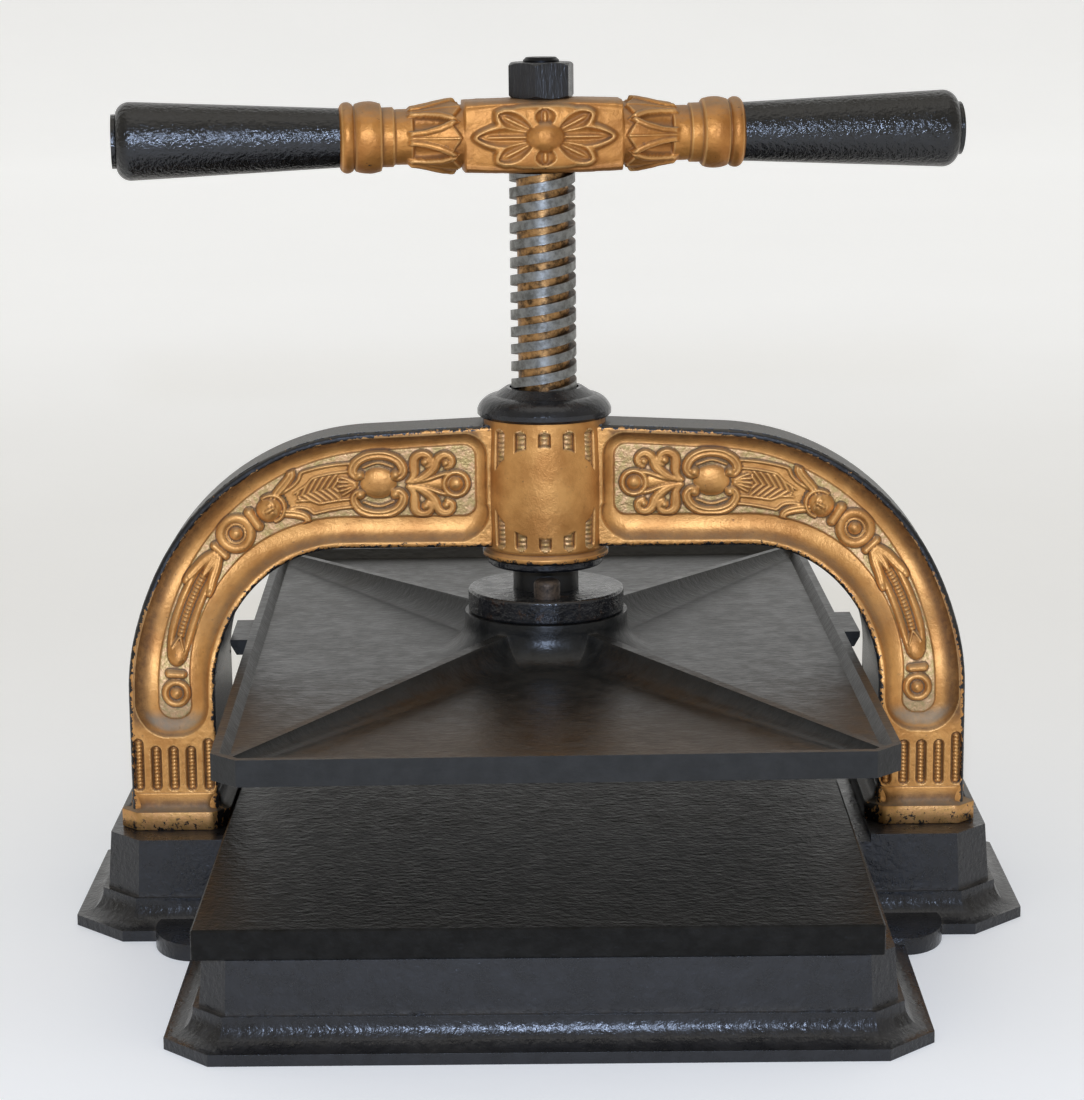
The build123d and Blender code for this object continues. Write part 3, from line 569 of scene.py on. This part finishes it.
def ornament(s, v):
    """The relief on an arm's field. v is measured from the ornament's own middle line."""
    parts = []

    def add(height):
        parts.append(height)

    def pair(points, height, crease=0.0):
        add(stroke(s, v, points, height, crease))
        add(stroke(s, -v, points, height, crease))

    # ball in a ring, drawn out to a drop, with two curled leaves on each side
    add(ring(s, v, (37.2, 0), 4.9, 1.15, 1.9))
    add(dome(s, v, (37.2, 0), (3.0, 3.0), 2.4))
    add(dome(s, v, (38.5, 0), (6.6, 4.6), 0.9))
    pair([(38.6, 4.7, 0.9), (43.5, 4.0, 1.0), (49.0, 1.6, 0.9), (56.0, 0.3, 0.5)], 1.7)
    add(stroke(s, v, [(42, 0, 3.2), (47, 0, 2.4), (54, 0, 0.8)], 1.2))
    pair([(57.0, 0.7, 0.8), (51.0, 2.4, 1.8), (46.4, 6.2, 2.3), (45.0, 10.6, 2.1), (42.0, 12.8, 1.8),
          (38.9, 11.2, 1.6), (38.6, 8.2, 1.4), (40.8, 7.0, 1.2)], 2.0, 0.3)
    add(dome(s, np.abs(v), (41.2, 8.9), (1.9, 1.9), 2.3))
    pair([(57.4, 1.0, 0.8), (54.4, 3.4, 1.7), (54.7, 7.4, 2.2), (54.4, 11.4, 2.1), (51.0, 13.2, 1.8),
          (47.9, 11.7, 1.6), (47.4, 8.6, 1.4), (49.0, 7.6, 1.2)], 2.0, 0.3)
    add(dome(s, np.abs(v), (49.8, 9.4), (2.0, 2.0), 2.3))
    # cartouche: two facing scrolls round a cushion
    add(dome(s, v, (69.6, 0.6), (7.6, 6.6), 2.3))
    pair([(63.0, 3.2, 1.6), (60.8, 3.0, 1.9), (58.6, 6.2, 2.1), (61.8, 11.2, 2.1), (69.6, 13.2, 2.2),
          (77.4, 11.2, 2.1), (80.6, 6.4, 2.0), (78.8, 3.2, 1.8), (76.6, 3.6, 1.5)], 2.4, 0.7)
    add(dome(s, np.abs(v), (62.4, 4.1), (2.3, 2.3), 2.8))
    add(dome(s, np.abs(v), (77.4, 4.1), (2.1, 2.1), 2.8))
    pair([(63.5, 7.4, 0.5), (69.6, 9.8, 0.6), (75.8, 7.4, 0.5)], 1.6)
    # strap: two border lines round a feather of chevrons, its end drawn in to the head's neck
    pair([(78.0, 9.2, 0.7), (98.6, 9.3, 0.75), (99.4, 8.8, 0.75), (100.8, 6.4, 0.8), (104.0, 4.6, 0.8),
          (108.5, 3.6, 0.7)], 1.5)
    pair([(79.0, 5.9, 0.6), (95.0, 5.8, 0.65), (96.2, 5.2, 0.65), (98.5, 3.4, 0.65), (104.5, 1.7, 0.6)], 1.5)
    strap_half = np.interp(s, [80, 98.6, 101, 108], [9.2, 9.2, 6.4, 3.4])
    add(np.where((s > 78) & (s < 108) & (np.abs(v) < strap_half), 0.75, 0))
    feather = (np.abs(v) < np.interp(s, [80, 95, 99, 104], [5.3, 5.2, 3.0, 1.2])) & (s > 86.0) & (s < 103.5)
    chevron = 0.5 + 0.5 * np.cos(2 * pi * (s + 0.9 * np.abs(v)) / 2.6)
    add(np.where(feather, 0.7 + 0.9 * chevron, 0))
    for lobe, half in ((0.0, 0.9), (1.9, 0.8), (3.7, 0.7)):
        pair([(79.0, 0.25 * lobe, 0.5), (82.5, lobe * 0.75, half), (86.0 - 0.35 * lobe, lobe, half)], 1.7)
    # two horn-like leaves, a small head, a collar and a large ring with a ball
    pair([(113.6, 3.2, 1.6), (109.6, 5.0, 2.1), (105.6, 7.2, 2.1), (102.8, 9.4, 1.8), (102.8, 11.9, 1.5),
          (105.2, 12.3, 1.1)], 2.2, 0.6)
    head = dome(s, v, (116.2, 0), (5.7, 5.4), 3.4)
    brow = stroke(s, v, [(114.2, -3.2, 0.8), (113.5, -1.5, 0.8), (114.2, 0, 0.6), (113.5, 1.5, 0.8),
                         (114.2, 3.2, 0.8)], 0.5)
    nose = stroke(s, v, [(114.2, 0, 0.6), (117.2, 0, 1.0)], 0.8)
    eyes = dome(s, np.abs(v), (115.4, 1.8), (0.8, 1.1), 0.45)
    mouth = dome(s, v, (118.9, 0), (0.6, 1.5), 0.4)
    add(head + np.where(head > 0.5, brow + nose + eyes + mouth, 0))
    add(ring(s, v, (115.4, 0), 5.6, 0.9, 2.4) * (s < 117))
    add(stroke(s, v, [(124.0, -3.6, 2.1), (124.0, 3.6, 2.1)], 2.9))
    add(ring(s, v, (133.6, 0), 6.3, 2.1, 1.8))
    add(ring(s, v, (133.6, 0), 3.9, 0.55, 1.5))
    add(dome(s, v, (133.6, 0), (2.9, 2.9), 2.9))
    # collar, cup of two lobes and a tongue, ribbed rod between two rails, bud
    add(stroke(s, v, [(143.4, -3.2, 1.7), (143.4, 3.2, 1.7)], 2.7))
    add(stroke(s, v, [(146.0, 0, 2.2), (151.0, 0, 2.4), (155.0, 0, 0.9)], 2.6, 0.4))
    pair([(146.0, 1.4, 1.9), (150.0, 3.0, 2.4), (155.0, 4.0, 2.3), (158.2, 5.0, 2.0), (160.2, 5.8, 1.8)],
         2.5, 0.3)
    add(dome(s, np.abs(v), (160.0, 5.6), (2.2, 1.9), 2.7))
    ribs = 0.78 + 0.22 * np.cos(2 * pi * s / 1.5)
    add(stroke(s, v, [(155.0, 0, 1.7), (180.5, 0, 1.5)], 2.3) * ribs)
    pair([(157.0, 3.6, 1.5), (170.0, 3.9, 1.6), (181.0, 3.8, 1.6), (189.0, 2.7, 1.3)], 1.8)
    add(dome(s, v, (186.8, 0), (6.0, 4.3), 2.6))
    pair([(181.0, 0.2, 0.5), (185.6, 2.6, 0.6)], 2.7)
    add(stroke(s, v, [(195.9, -2.9, 1.7), (195.9, 2.9, 1.7)], 2.4))
    add(ring(s, v, (203.9, 0), 4.6, 1.4, 1.8))
    add(dome(s, v, (203.9, 0), (2.6, 2.6), 2.5))
    return np.maximum.reduce(parts)


def flutes(x, z):
    """Depth of the leg's five slots, each with a beaded rod in it."""
    depth = np.zeros_like(x)
    for k in range(-2, 3):
        top = flute_high + (outer_flute_rise if abs(k) == 2 else 0)
        across = x - leg_middle - k * flute_pitch
        over = z - np.clip(z, flute_low, top)
        n = np.hypot(across, over) / flute_half
        slot = 2.7 * np.clip(1 - n**4, 0, 1) ** 0.6
        inside = np.hypot(across, z - np.clip(z, flute_low - 0.6, top + 0.4)) / rod_half
        bead = 0.72 + 0.28 * np.abs(np.sin(pi * (z - flute_low) / bead_pitch))
        rod = 2.2 * np.sqrt(np.clip(1 - inside**2, 0, 1)) * bead
        depth = np.maximum(depth, slot) - np.where(n < 1, rod, 0)
    return depth


def arm(side):
    """Rings of points round an arm, from the boss to the foot, with the values for its paint."""
    s_rows = np.arange(arm_start, arc_end + inner_centre[1] - leg_foot, row_step)
    inner, outer = (edge[:, None, :] for edge in arm_edges(s_rows))
    width = np.linalg.norm(outer - inner, axis=-1)

    def face(columns, decorated):
        """One face of the arm: places x and z, depth below the rim, and the paint's values."""
        t = np.linspace(0, 1, columns)[None, :]
        x, z = np.moveaxis(inner + (outer - inner) * t[..., None], -1, 0)
        s, v = along_and_across(x, z)
        d_in, d_out = t * width, (1 - t) * width
        near_edge = np.minimum(d_in, d_out)
        # the field's outline: distances in from the arm's edges, with rounded corners
        side_in = d_in - np.interp(s, *field_gap_in)
        side_out = d_out - np.interp(s, *field_gap_out)
        corner = np.where(s < arm_middle, *field_corners)
        px = np.maximum(0, corner - np.minimum(s - field_start, field_stop - s))
        py = np.maximum(0, corner - np.minimum(side_in, side_out))
        out = np.hypot(px, py) - corner
        in_field = ease(-out, 0.0, 0.7)
        # the hollow between field and rim; c runs from 0 at the rim to 1 at the field
        side_cove = np.where(side_in < side_out, d_in - side_in, d_out - side_out) - rim
        end_cove = np.where(s < arm_middle, start_cove, stop_cove)
        cove = (side_cove * py + end_cove * px) / (px + py + 1e-6)
        c = np.clip(1 - out / np.maximum(cove, 1e-9), 0, 1)
        depth = cove_depth * (1 - (1 - c) ** 2) ** 0.6
        depth = depth + (field_depth - cove_depth) * in_field
        raised, slots = np.zeros_like(x), np.zeros_like(x)
        if decorated:
            raised = ornament(s, v - np.interp(s, *ornament_middle)) * ease(-out, -0.3, 0.6)
            slots = flutes(x, z)
            depth = depth - raised + slots
        # cast roughness and the rounded edges
        on_rim = 1 - ease(c, 0.0, 0.25)
        bare = in_field * (raised < 0.25)
        flat = np.zeros_like(x)
        rough = 0.06 * grain(side * x, flat, z, 2.6, 5) + 0.06 * grain(side * x, flat, z, 0.9, 9)
        depth = depth + rough * (0.5 + 0.7 * on_rim + 0.5 * bare)
        over = np.maximum(0, edge_round - near_edge)
        depth = depth + edge_round - np.sqrt(edge_round**2 - over**2)
        crest = np.clip((blur(depth, 3) - depth) / 0.35, -1, 1)
        crest[[0, 1, 2, -3, -2, -1]] = 0
        crest[:, [0, 1, 2, -3, -2, -1]] = 0
        # painted shade, with some dirt, along both sides of the hollow, most of it on the outer one
        outer_side = ease(side_in - side_out, -2.0, 2.0)
        upper_dark = 0.85 * outer_side * (1 - ease(c, 0.25, 0.8)) * ease(d_out, 1.0, 2.6)
        lower_dark = 0.5 * (1 - outer_side) * ease(c, 0.0, 0.12) * (1 - ease(c, 0.2, 0.5))
        in_panel = ease(s, field_start - 4.0, field_start + 1.0) * ease(z, 78.0, 88.0)
        cove_shade_and_dirt = np.where(in_field > 0.5, 0, np.maximum(upper_dark, lower_dark)) * in_panel
        # the gold stops short of both edges
        bare_black = np.where(d_out < d_in, np.interp(s, *black_edge), 0.9)
        low_hollow = ease(z, 90, 84) * ease(c, 0.1, 0.4) * (out > 0)
        values = {
            "gold": ease(near_edge, bare_black - 1.0, bare_black + 1.0) * np.ones_like(x),
            "field": bare,
            "crest": crest,
            # painted shade: the hollow's sides and the leg's slots are painted darker
            "shade_and_grime": cove_shade_and_dirt + 0.9 * ease(slots, 0.7, 1.8),
            "chips": 0.40 * (1 - ease(near_edge, 1.0, 3.2)) + 0.08 * on_rim,
            "dust": 0.75 * low_hollow + 0.3 * ease(z, 104, 88) * bare,
        }
        return x, z, depth, values

    x, z, depth, values = face(front_columns, True)
    front = np.stack([side * x, depth - half_depth(z), z], -1)
    bx, bz, back_depth, _ = face(back_columns, False)
    back = np.stack([side * bx, half_depth(bz) - back_depth, bz], -1)[:, ::-1]

    def wall(edge, from_front):
        """The arm's side between its front and back faces."""
        ex, ez = np.moveaxis(edge, -1, 0)
        reach = half_depth(ez) - edge_round
        share = np.linspace(-1, 1, side_columns)[None, :] * (1 if from_front else -1)
        flat = np.ones_like(share)
        return np.stack([side * ex * flat, share * reach, ez * flat], -1)

    rings = np.concatenate([front, wall(outer, True), back, wall(inner, False)], 1)
    dark = np.zeros((len(s_rows), rings.shape[1] - front_columns))
    return rings, {key: np.concatenate([value, dark], 1) for key, value in values.items()}


def cut_corner_loop(half_x, half_y, cut, z, centre_x, per_edge=10):
    """Points round a rectangle with cut corners."""
    corners = []
    for sx, sy, first in ((1, -1, "x"), (1, 1, "y"), (-1, 1, "x"), (-1, -1, "y")):
        a, b = (sx * (half_x - cut), sy * half_y), (sx * half_x, sy * (half_y - cut))
        corners += [a, b] if first == "x" else [b, a]
    corners = np.array(corners)
    t = np.linspace(0, 1, per_edge, endpoint=False)[:, None]
    loop = np.vstack([p + (q - p) * t for p, q in zip(corners, np.roll(corners, -1, 0))])
    return np.column_stack([loop[:, 0] + centre_x, loop[:, 1], np.full(len(loop), z)])


def foot(side):
    """A leg's foot: cut-cornered pad and a hollow moulding up to the leg."""
    pad_top = pad_bottom + pad_height
    moulding_top = pad_top + moulding_height
    pad_profile = (
        (0.4, pad_bottom), (0, pad_bottom + 0.4), (0, pad_top - 0.4), (0.15, pad_top - 0.1), (0.5, pad_top)
    )
    rings = [(pad_half_x - inset, pad_half_y - inset, pad_cut, z) for inset, z in pad_profile]
    low_x, low_y = pad_half_x - moulding_inset, pad_half_y - moulding_inset
    top_x, top_y = leg_half + moulding_lap, leg_half_depth + moulding_lap
    for rise in np.arange(1, 9) / 8:
        pull = (1 - (1 - rise) ** 2) ** 0.5
        half_x, half_y = low_x + (top_x - low_x) * pull, low_y + (top_y - low_y) * pull
        cut = pad_cut - (pad_cut - 1.5) * rise
        rings.append((half_x, half_y, cut, pad_top + moulding_height * rise))
    loops = np.stack([cut_corner_loop(*r, side * leg_middle, 14) for r in rings])
    x, y, z = np.moveaxis(loops, -1, 0)
    wobble = grain(x, y, z, 2.6, 21) * 0.10
    shift_x = 0.5 * wobble * np.sign(x - side * leg_middle)
    loops = loops + np.stack([shift_x, wobble, np.zeros_like(z)], -1)
    front = ease(-y, leg_half_depth - 5.5, leg_half_depth - 3.0)
    inner_wall = np.abs(x) < leg_middle - leg_half + 0.4
    on_pad = z < pad_top - 0.1
    near_floor = 1 - ease(z, pad_bottom + 0.5, pad_bottom + 2.5)
    values = {
        "gold": front * np.where(inner_wall, 0.2, 1.0),
        "field": np.where(on_pad, 0.35, 0.0),
        "crest": np.zeros_like(x),
        # painted shade: the moulding is painted darker low down, in the corner above the pad
        "shade_and_grime": np.where(on_pad, 0.0, 0.8 * (1 - ease(z, pad_top + 2.5, moulding_top - 0.8))),
        "chips": np.where(on_pad, 0.20 + 0.30 * near_floor, 0.1),
        "dust": np.where(on_pad, 0, 0.45 * (1 - ease(z, pad_top + 0.5, pad_top + 3.5))),
    }
    return loops, values


for side, name in ((-1, "arch_arm_left"), (1, "arch_arm_right")):
    shell = Shell()
    shell.tube(*arm(side))
    shell.tube(*foot(side))
    shell.build(name, gold, "frame", "arch_frame")

# --- boss ------------------------------------------------------------------------------------------

niche_pitch, niche_half, niche_low, niche_high = 23.0, 2.8, 153.4, 204.2
cushion_z, cushion_half, cushion_turn = 178.3, 19.1, 56.3
niche_depth, niche_rod, niche_bead, rod_height = 2.1, 2.2, 1.95, 1.85


def boss():
    """The barrel in the arch's middle: niches at both ends, smooth between, bored for the nut."""
    front, rest = np.linspace(-78, 78, 340), np.linspace(78, 282, 70)[1:-1]
    turn = np.append(front, rest)[None, :]
    rows = np.arange(boss_bottom + 1.0, boss_top - 0.4, 0.45)
    z = np.concatenate([[boss_bottom, boss_bottom + 0.5], rows, [boss_top]])[:, None]
    share = (z - boss_bottom) / (boss_top - boss_bottom)
    radius = boss_radius - 0.35 + 0.8 * np.sin(pi * np.clip(share, 0, 1)) + 0 * turn
    # foot flange and the groove above it
    radius = radius + 0.9 * ease(z, boss_bottom + 3.2, boss_bottom + 2.2)
    radius = radius - 0.7 * np.exp(-(((z - boss_bottom - 4.0) / 0.5) ** 2))
    radius = radius - 0.8 * ease(z, boss_bottom + 0.9, boss_bottom)
    # niches with a beaded rod in each, cut off by the smooth cushion
    slots, rods = np.zeros_like(radius), np.zeros_like(radius)
    cushion = np.sqrt((turn / cushion_turn) ** 2 + ((z - cushion_z) / cushion_half) ** 2)
    past_cushion = ease(cushion, 1.0, 1.03)
    bead = 0.66 + 0.34 * np.abs(np.sin(pi * (z - niche_low) / niche_bead))
    for k in range(-2, 3):
        across = radians(1) * (turn - k * niche_pitch) * boss_radius
        over = z - np.clip(z, niche_low + niche_half, niche_high - niche_half)
        n = np.hypot(across, over) / niche_half
        slot = niche_depth * np.clip(1 - n**6, 0, 1) ** 0.7
        rod = rod_height * np.sqrt(np.clip(1 - (across / niche_rod) ** 2, 0, 1)) * bead * (n < 0.97)
        slots = np.maximum(slots, slot * past_cushion)
        rods = np.maximum(rods, rod * past_cushion)
    radius = radius - slots + rods
    x0, y0 = np.sin(np.radians(turn)), -np.cos(np.radians(turn))
    coarse = grain(radius * x0, radius * y0, z, 2.4, 31)
    fine = grain(radius * x0, radius * y0, z, 0.9, 33)
    radius = radius + 0.04 * coarse + 0.03 * fine
    crest = np.clip((radius - blur(radius, 3)) / 0.35, -1, 1)
    crest[[0, 1, 2, -3, -2, -1]] = 0
    facing = 1 - ease(np.abs(turn), 80, 88)
    low_edge = ease(z, boss_bottom + 0.2, boss_bottom + 1.3)
    values = {
        "gold": facing * low_edge,
        "field": np.clip(rods, 0, 1) * 0.8,
        "crest": crest,
        # painted shade: the niches and the barrel's sides, turned away from the light, are painted darker
        "shade_and_grime": 0.6 * ease(slots - rods, 1.1, 2.0) + 0.45 * ease(np.abs(turn), 52, 62),
        "dust": 0,
        "chips": 0.05 + 0.36 * (1 - ease(z, boss_bottom + 1.5, boss_bottom + 3.0)),
    }
    outside = np.stack([radius * x0, radius * y0, z + 0 * turn], -1)
    bore = np.array([boss_top, boss_bottom])[:, None] + 0 * turn
    inside = np.stack([bore_radius * x0 + 0 * bore, bore_radius * y0 + 0 * bore, bore], -1)
    plain = np.zeros((2, turn.shape[1]))
    values = {key: np.vstack([np.broadcast_to(v, radius.shape), plain]) for key, v in values.items()}
    return np.concatenate([outside, inside], 0), values


boss_shell = Shell()
boss_shell.tube(*boss(), ends="joined")
boss_shell.build("arch_boss", gold, "frame", "arch_frame")

# --- crossbar -----------------------------------------------------------------------------------------

bar_low, bar_high = box_mm("crossbar")
bar_z = (bar_low[2] + bar_high[2]) / 2
bar_turn = radians(6.0)
block_half, block_up, block_deep, block_power = 32.5, 15.2, 15.0, 5.5
flower_sink = 1.4
leaf_tip, lotus_end, collar_at, bead_at, grip_at, bar_end = 33.6, 53.6, 66.0, 77.1, 83.3, 175.5
lotus_radius, neck_radius, collar_radius, bead_foot, tang_radius = 13.9, 11.2, 14.7, 11.6, 6.0


def petal(u, w, angle, length, half, start, blunt):
    """Where a place lies in a petal: how far out (0 on its middle line, 1 on its border), the
    distance from that line, and the share of the petal's length."""
    a = radians(angle)
    p, q = u * cos(a) + w * sin(a), -u * sin(a) + w * cos(a)
    share = (p - start) / (length - start)
    inside = (share > 0) & (share < 1)
    outline = half * np.sin(pi * np.clip(share, 0.001, 0.999) ** blunt) ** 0.62
    reach = np.where(inside, np.abs(q) / outline, 9.0)
    return reach, q, share


def flower(u, w):
    """The eight-petalled flower on the bar's middle block: a raised plate with hollowed petals."""
    petals = [(angle, 27.6, 4.0, 5.0, 0.82) for angle in (0, 180)]
    petals += [(angle, 21.0, 3.6, 5.5, 1.25) for angle in (26, 154, 206, 334)]
    petals += [(angle, 11.6, 4.3, 3.0, 1.5) for angle in (90, 270)]
    plate = np.where((np.abs(u) / 20.5) ** 3 + (np.abs(w) / 13.4) ** 3 < 1, 1.0, 0.0)
    hollow = np.zeros_like(u)
    for angle, length, half, start, blunt in petals:
        reach, _, _ = petal(u, w, angle, length + 1.9, half + 2.0, start - 2, blunt)
        plate = np.maximum(plate, 1.0 * (reach < 1))
        reach, q, share = petal(u, w, angle, length, half, start, blunt)
        ridge = 1.3 * np.clip(1 - np.abs(q) / 1.3, 0, 1) * ease(share, 1.0, 0.7)
        cut = 2.3 * np.clip(1 - reach**2.2, 0, 1) ** 0.7
        hollow = np.maximum(hollow, np.where(reach < 1, np.maximum(cut - ridge, 0.05), 0))
    plate = blur(plate, 3) * 2.4
    centre = dome(u, w, (0, 0), (8.0, 6.4), 4.6)
    return np.maximum(plate - hollow, centre)


def lathe_profile(far):
    """The bar's radius at a distance from its middle: lotus core, neck, collar, bead and tang."""
    lotus = lotus_radius - 2.6 * ease(far, block_half + 4, 57)
    radius = np.where(far < 60, lotus, neck_radius + 1.0 * ease(far, 60.6, 61.2))
    from_middle = (far - (collar_at + bead_at) / 2) / (bead_at - collar_at) * 2
    collar = (collar_radius - 1.1 * from_middle**2) * ease(far, collar_at - 0.7, collar_at + 0.3)
    on_collar = (far >= collar_at - 0.6) & (far < bead_at)
    radius = np.where(on_collar, np.maximum(radius, collar), radius)
    from_middle = (far - (bead_at + grip_at) / 2) / ((grip_at - bead_at) / 2 + 0.05)
    bead = bead_foot + 2.9 * np.sqrt(np.clip(1 - from_middle**2, 0, 1))
    radius = np.where((far >= bead_at) & (far <= grip_at), bead, radius)
    radius = np.where(far > grip_at, tang_radius, radius)
    return np.where(far > bar_end - 0.5, tang_radius - 0.7, radius)


def lotus_relief(far, turn):
    """Six broad leaves with thick borders, pointed towards the block, and spoon hollows between."""
    sector = np.degrees(np.abs((turn + radians(30)) % radians(60) - radians(30))) + 0 * far
    share = np.clip((far - leaf_tip) / (lotus_end - leaf_tip), 0, 1)
    leaf = np.interp(share, [0, 0.08, 0.2, 0.45, 0.75, 1.0], [0.0, 15.0, 21.0, 12.5, 7.0, 5.0])
    border_end = leaf + np.interp(share, [0, 0.2, 1.0], [12.0, 10.0, 8.5])
    tip = np.interp(sector, [0, 14, 22, 30], [leaf_tip, leaf_tip + 2.2, leaf_tip + 3.6, leaf_tip + 0.8])
    on_lotus = ease(far, tip, tip + 0.7) * (1 - ease(far, lotus_end + 0.2, lotus_end + 2.6))
    across_border = (sector - (leaf + border_end) / 2) / ((border_end - leaf) / 2 + 1.2)
    border = 1.15 * np.sqrt(np.clip(1 - across_border**2, 0, 1))
    leaf_face = 0.55 + 0.45 * (1 - ease(sector, 0.0, 2.5))
    from_border = np.clip((30 - sector) / np.maximum(30 - border_end, 0.5), 0, 1)
    spoon = -2.0 * np.sqrt(1 - from_border**2) * ease(share, 0.2, 0.5)
    spoon = spoon * (1 - ease(far, lotus_end - 0.6, lotus_end))
    relief = (np.where(sector < border_end, leaf_face, spoon) + border) * on_lotus
    return relief - 1.1 * (1 - ease(far, tip - 0.3, tip + 0.4)) * (far < 40)


def crossbar():
    """Rings of points along the bar, from end to end, with the values for its paint."""
    step = 0.5
    u = np.arange(-grip_at, grip_at + step / 2, step)
    tang = [grip_at + 0.01, grip_at + 0.6, bar_end - 0.8, bar_end]
    u = np.concatenate([[-t for t in tang[::-1]], u, tang])[:, None]
    turn = np.linspace(0, 2 * pi, 248, endpoint=False)[None, :]
    far = np.abs(u)
    in_block = far <= block_half
    leaves = lotus_relief(far, turn)
    radius = lathe_profile(far) + np.where(~in_block & (far < 62), leaves, 0)
    y0, z0 = -np.cos(turn), np.sin(turn)
    # middle block: a rounded square, slightly crowned, with the flower on its two faces
    crown = 1 - 0.045 * (far / block_half) ** 2
    across_y, across_z = np.abs(y0) / block_deep, np.abs(z0) / block_up
    square = (across_y**block_power + across_z**block_power) ** (-1 / block_power) * crown
    y = np.where(in_block, square, radius) * y0
    z = np.where(in_block, square, radius) * z0
    on_face = ease(np.abs(y), block_deep - 2.2, block_deep - 0.9) * in_block
    petals = flower(u + 0 * turn, z) * on_face * ease(block_up - 0.9 - np.abs(z), -0.6, 0.8)
    y = y + np.sign(y) * (petals - flower_sink * on_face)
    places = u + 0 * turn, y, z
    rough = 0.10 * grain(*places, 2.2, 41) + 0.05 * grain(*places, 0.9, 43)
    swell = 1 + rough / (np.hypot(y, z) + 1e-6)
    y, z = y * swell, z * swell
    height = np.where(in_block, petals, radius)
    crest = np.clip((height - blur(height, 3)) / 0.3, -1, 1)
    block_end = np.abs(far - block_half) < 1.3
    crest = np.where(block_end | (far > grip_at - 1), 0, crest)
    seams = sum(0.45 * np.exp(-(((far - at) / 0.7) ** 2)) for at in (bead_at, collar_at - 0.4))
    low_petals = ease(-z, 10.5, 13.5) * ease(petals, 0.5, 1.2)
    values = {
        "gold": far < grip_at + 0.2,
        "field": 0,
        "crest": crest,
        "dust": 0,
        # painted shade on the bar's underside and in the hollows between the leaves, and dark lines at the
        # collar's and bead's seams
        "shade_and_grime": np.maximum(0.45 * ease(-z, 9.0, 14.0), 0.15 * ease(-leaves, 0.6, 1.4)) + seams,
        "chips": 0.05 + np.where(in_block, 0.38 * low_petals, 0.12 * ease(far, 64, 66)),
    }
    x, y = u * cos(bar_turn) - y * sin(bar_turn), u * sin(bar_turn) + y * cos(bar_turn)
    return np.stack([x, y, z + bar_z], -1), values


bar_shell = Shell()
bar_shell.tube(*crossbar())
bar_shell.build("handle_bar", bar_gold, "spindle_unit", "crossbar")

# --- floor, light and camera ----------------------------------------------------------------------------


def backdrop():
    """A pale sheet that lies under the press and curves up well behind it."""
    half, front, back, bend, top = 14.0, -14.0, 6.0, 2.0, 9.0
    profile = [(front, 0.0), (back - bend, 0.0)]
    profile += [(back - bend + bend * sin(a), bend - bend * cos(a)) for a in np.linspace(0.1, pi / 2, 16)]
    profile.append((back, top))
    points = [(x, y, z) for y, z in profile for x in (-half, half)]
    faces = [(2 * i, 2 * i + 1, 2 * i + 3, 2 * i + 2) for i in range(len(profile) - 1)]
    mesh = bpy.data.meshes.new("backdrop")
    mesh.from_pydata(points, [], faces)
    mesh.polygons.foreach_set("use_smooth", [True] * len(faces))
    sheet = bpy.data.objects.new("backdrop", mesh)
    bpy.context.scene.collection.objects.link(sheet)
    paint = Paint("backdrop_paper")
    cloud = paint.noise(220.0, 4.0, seed=2.0)
    shade = paint.mix(cloud, (0.88, 0.865, 0.83), (0.83, 0.81, 0.77))
    from_press = paint.make("ShaderNodeVectorMath", {"operation": "LENGTH"}, _0=paint.place.outputs["Object"])
    lit = paint.ramp(from_press.outputs["Value"], 0.25, 2.2, 0.20, 0.42)
    paint.shader.inputs["Emission Color"].default_value = (0.83, 0.88, 0.96, 1.0)
    paint.fill(paint.shader.inputs["Emission Strength"], lit)
    sheet.data.materials.append(paint.finish(shade, 0.75, 0.0, paint.bump(paint.noise(40.0, 3.0), 0.3)))


backdrop()


def area_light(name, place, target, size, power, colour=(1, 1, 1)):
    data = bpy.data.lights.new(name, "AREA")
    data.shape, data.size, data.size_y = "RECTANGLE", size[0], size[1]
    data.energy, data.color = power, colour
    lamp = bpy.data.objects.new(name, data)
    lamp.location = place
    lamp.rotation_euler = (Vector(target) - Vector(place)).to_track_quat("-Z", "Y").to_euler()
    bpy.context.scene.collection.objects.link(lamp)


press_middle = (0, 0, 0.18)
area_light("key", (0.0, -1.27, 0.585), press_middle, (0.04, 0.025), 8.4, (0.74, 0.92, 1.30))
area_light("overhead", (0.0, -0.25, 1.5), press_middle, (1.3, 0.9), 2.6, (1.0, 0.97, 0.92))

world = bpy.data.worlds.new("studio")
world.use_nodes = True
world.node_tree.nodes["Background"].inputs["Color"].default_value = (1.0, 0.94, 0.82, 1.0)
world.node_tree.nodes["Background"].inputs["Strength"].default_value = 0.45
bpy.context.scene.world = world

camera_data = bpy.data.cameras.new("camera")
camera_data.sensor_fit, camera_data.sensor_width = "AUTO", 36.0
camera_data.lens = 98.6
camera_data.shift_x = -0.005
camera = bpy.data.objects.new("camera", camera_data)
pitch, yaw, roll = radians(11.73), radians(0.12), radians(-0.54)
camera.rotation_mode = "QUATERNION"
turned = Matrix.Rotation(yaw, 4, "Z") @ Matrix.Rotation(pi / 2 - pitch, 4, "X")
camera.rotation_quaternion = (turned @ Matrix.Rotation(roll, 4, "Z")).to_quaternion()
camera.location = (0.0034, -1.2488, 0.4085)
bpy.context.scene.collection.objects.link(camera)
bpy.context.scene.camera = camera
bpy.context.scene.view_settings.view_transform = "Standard"
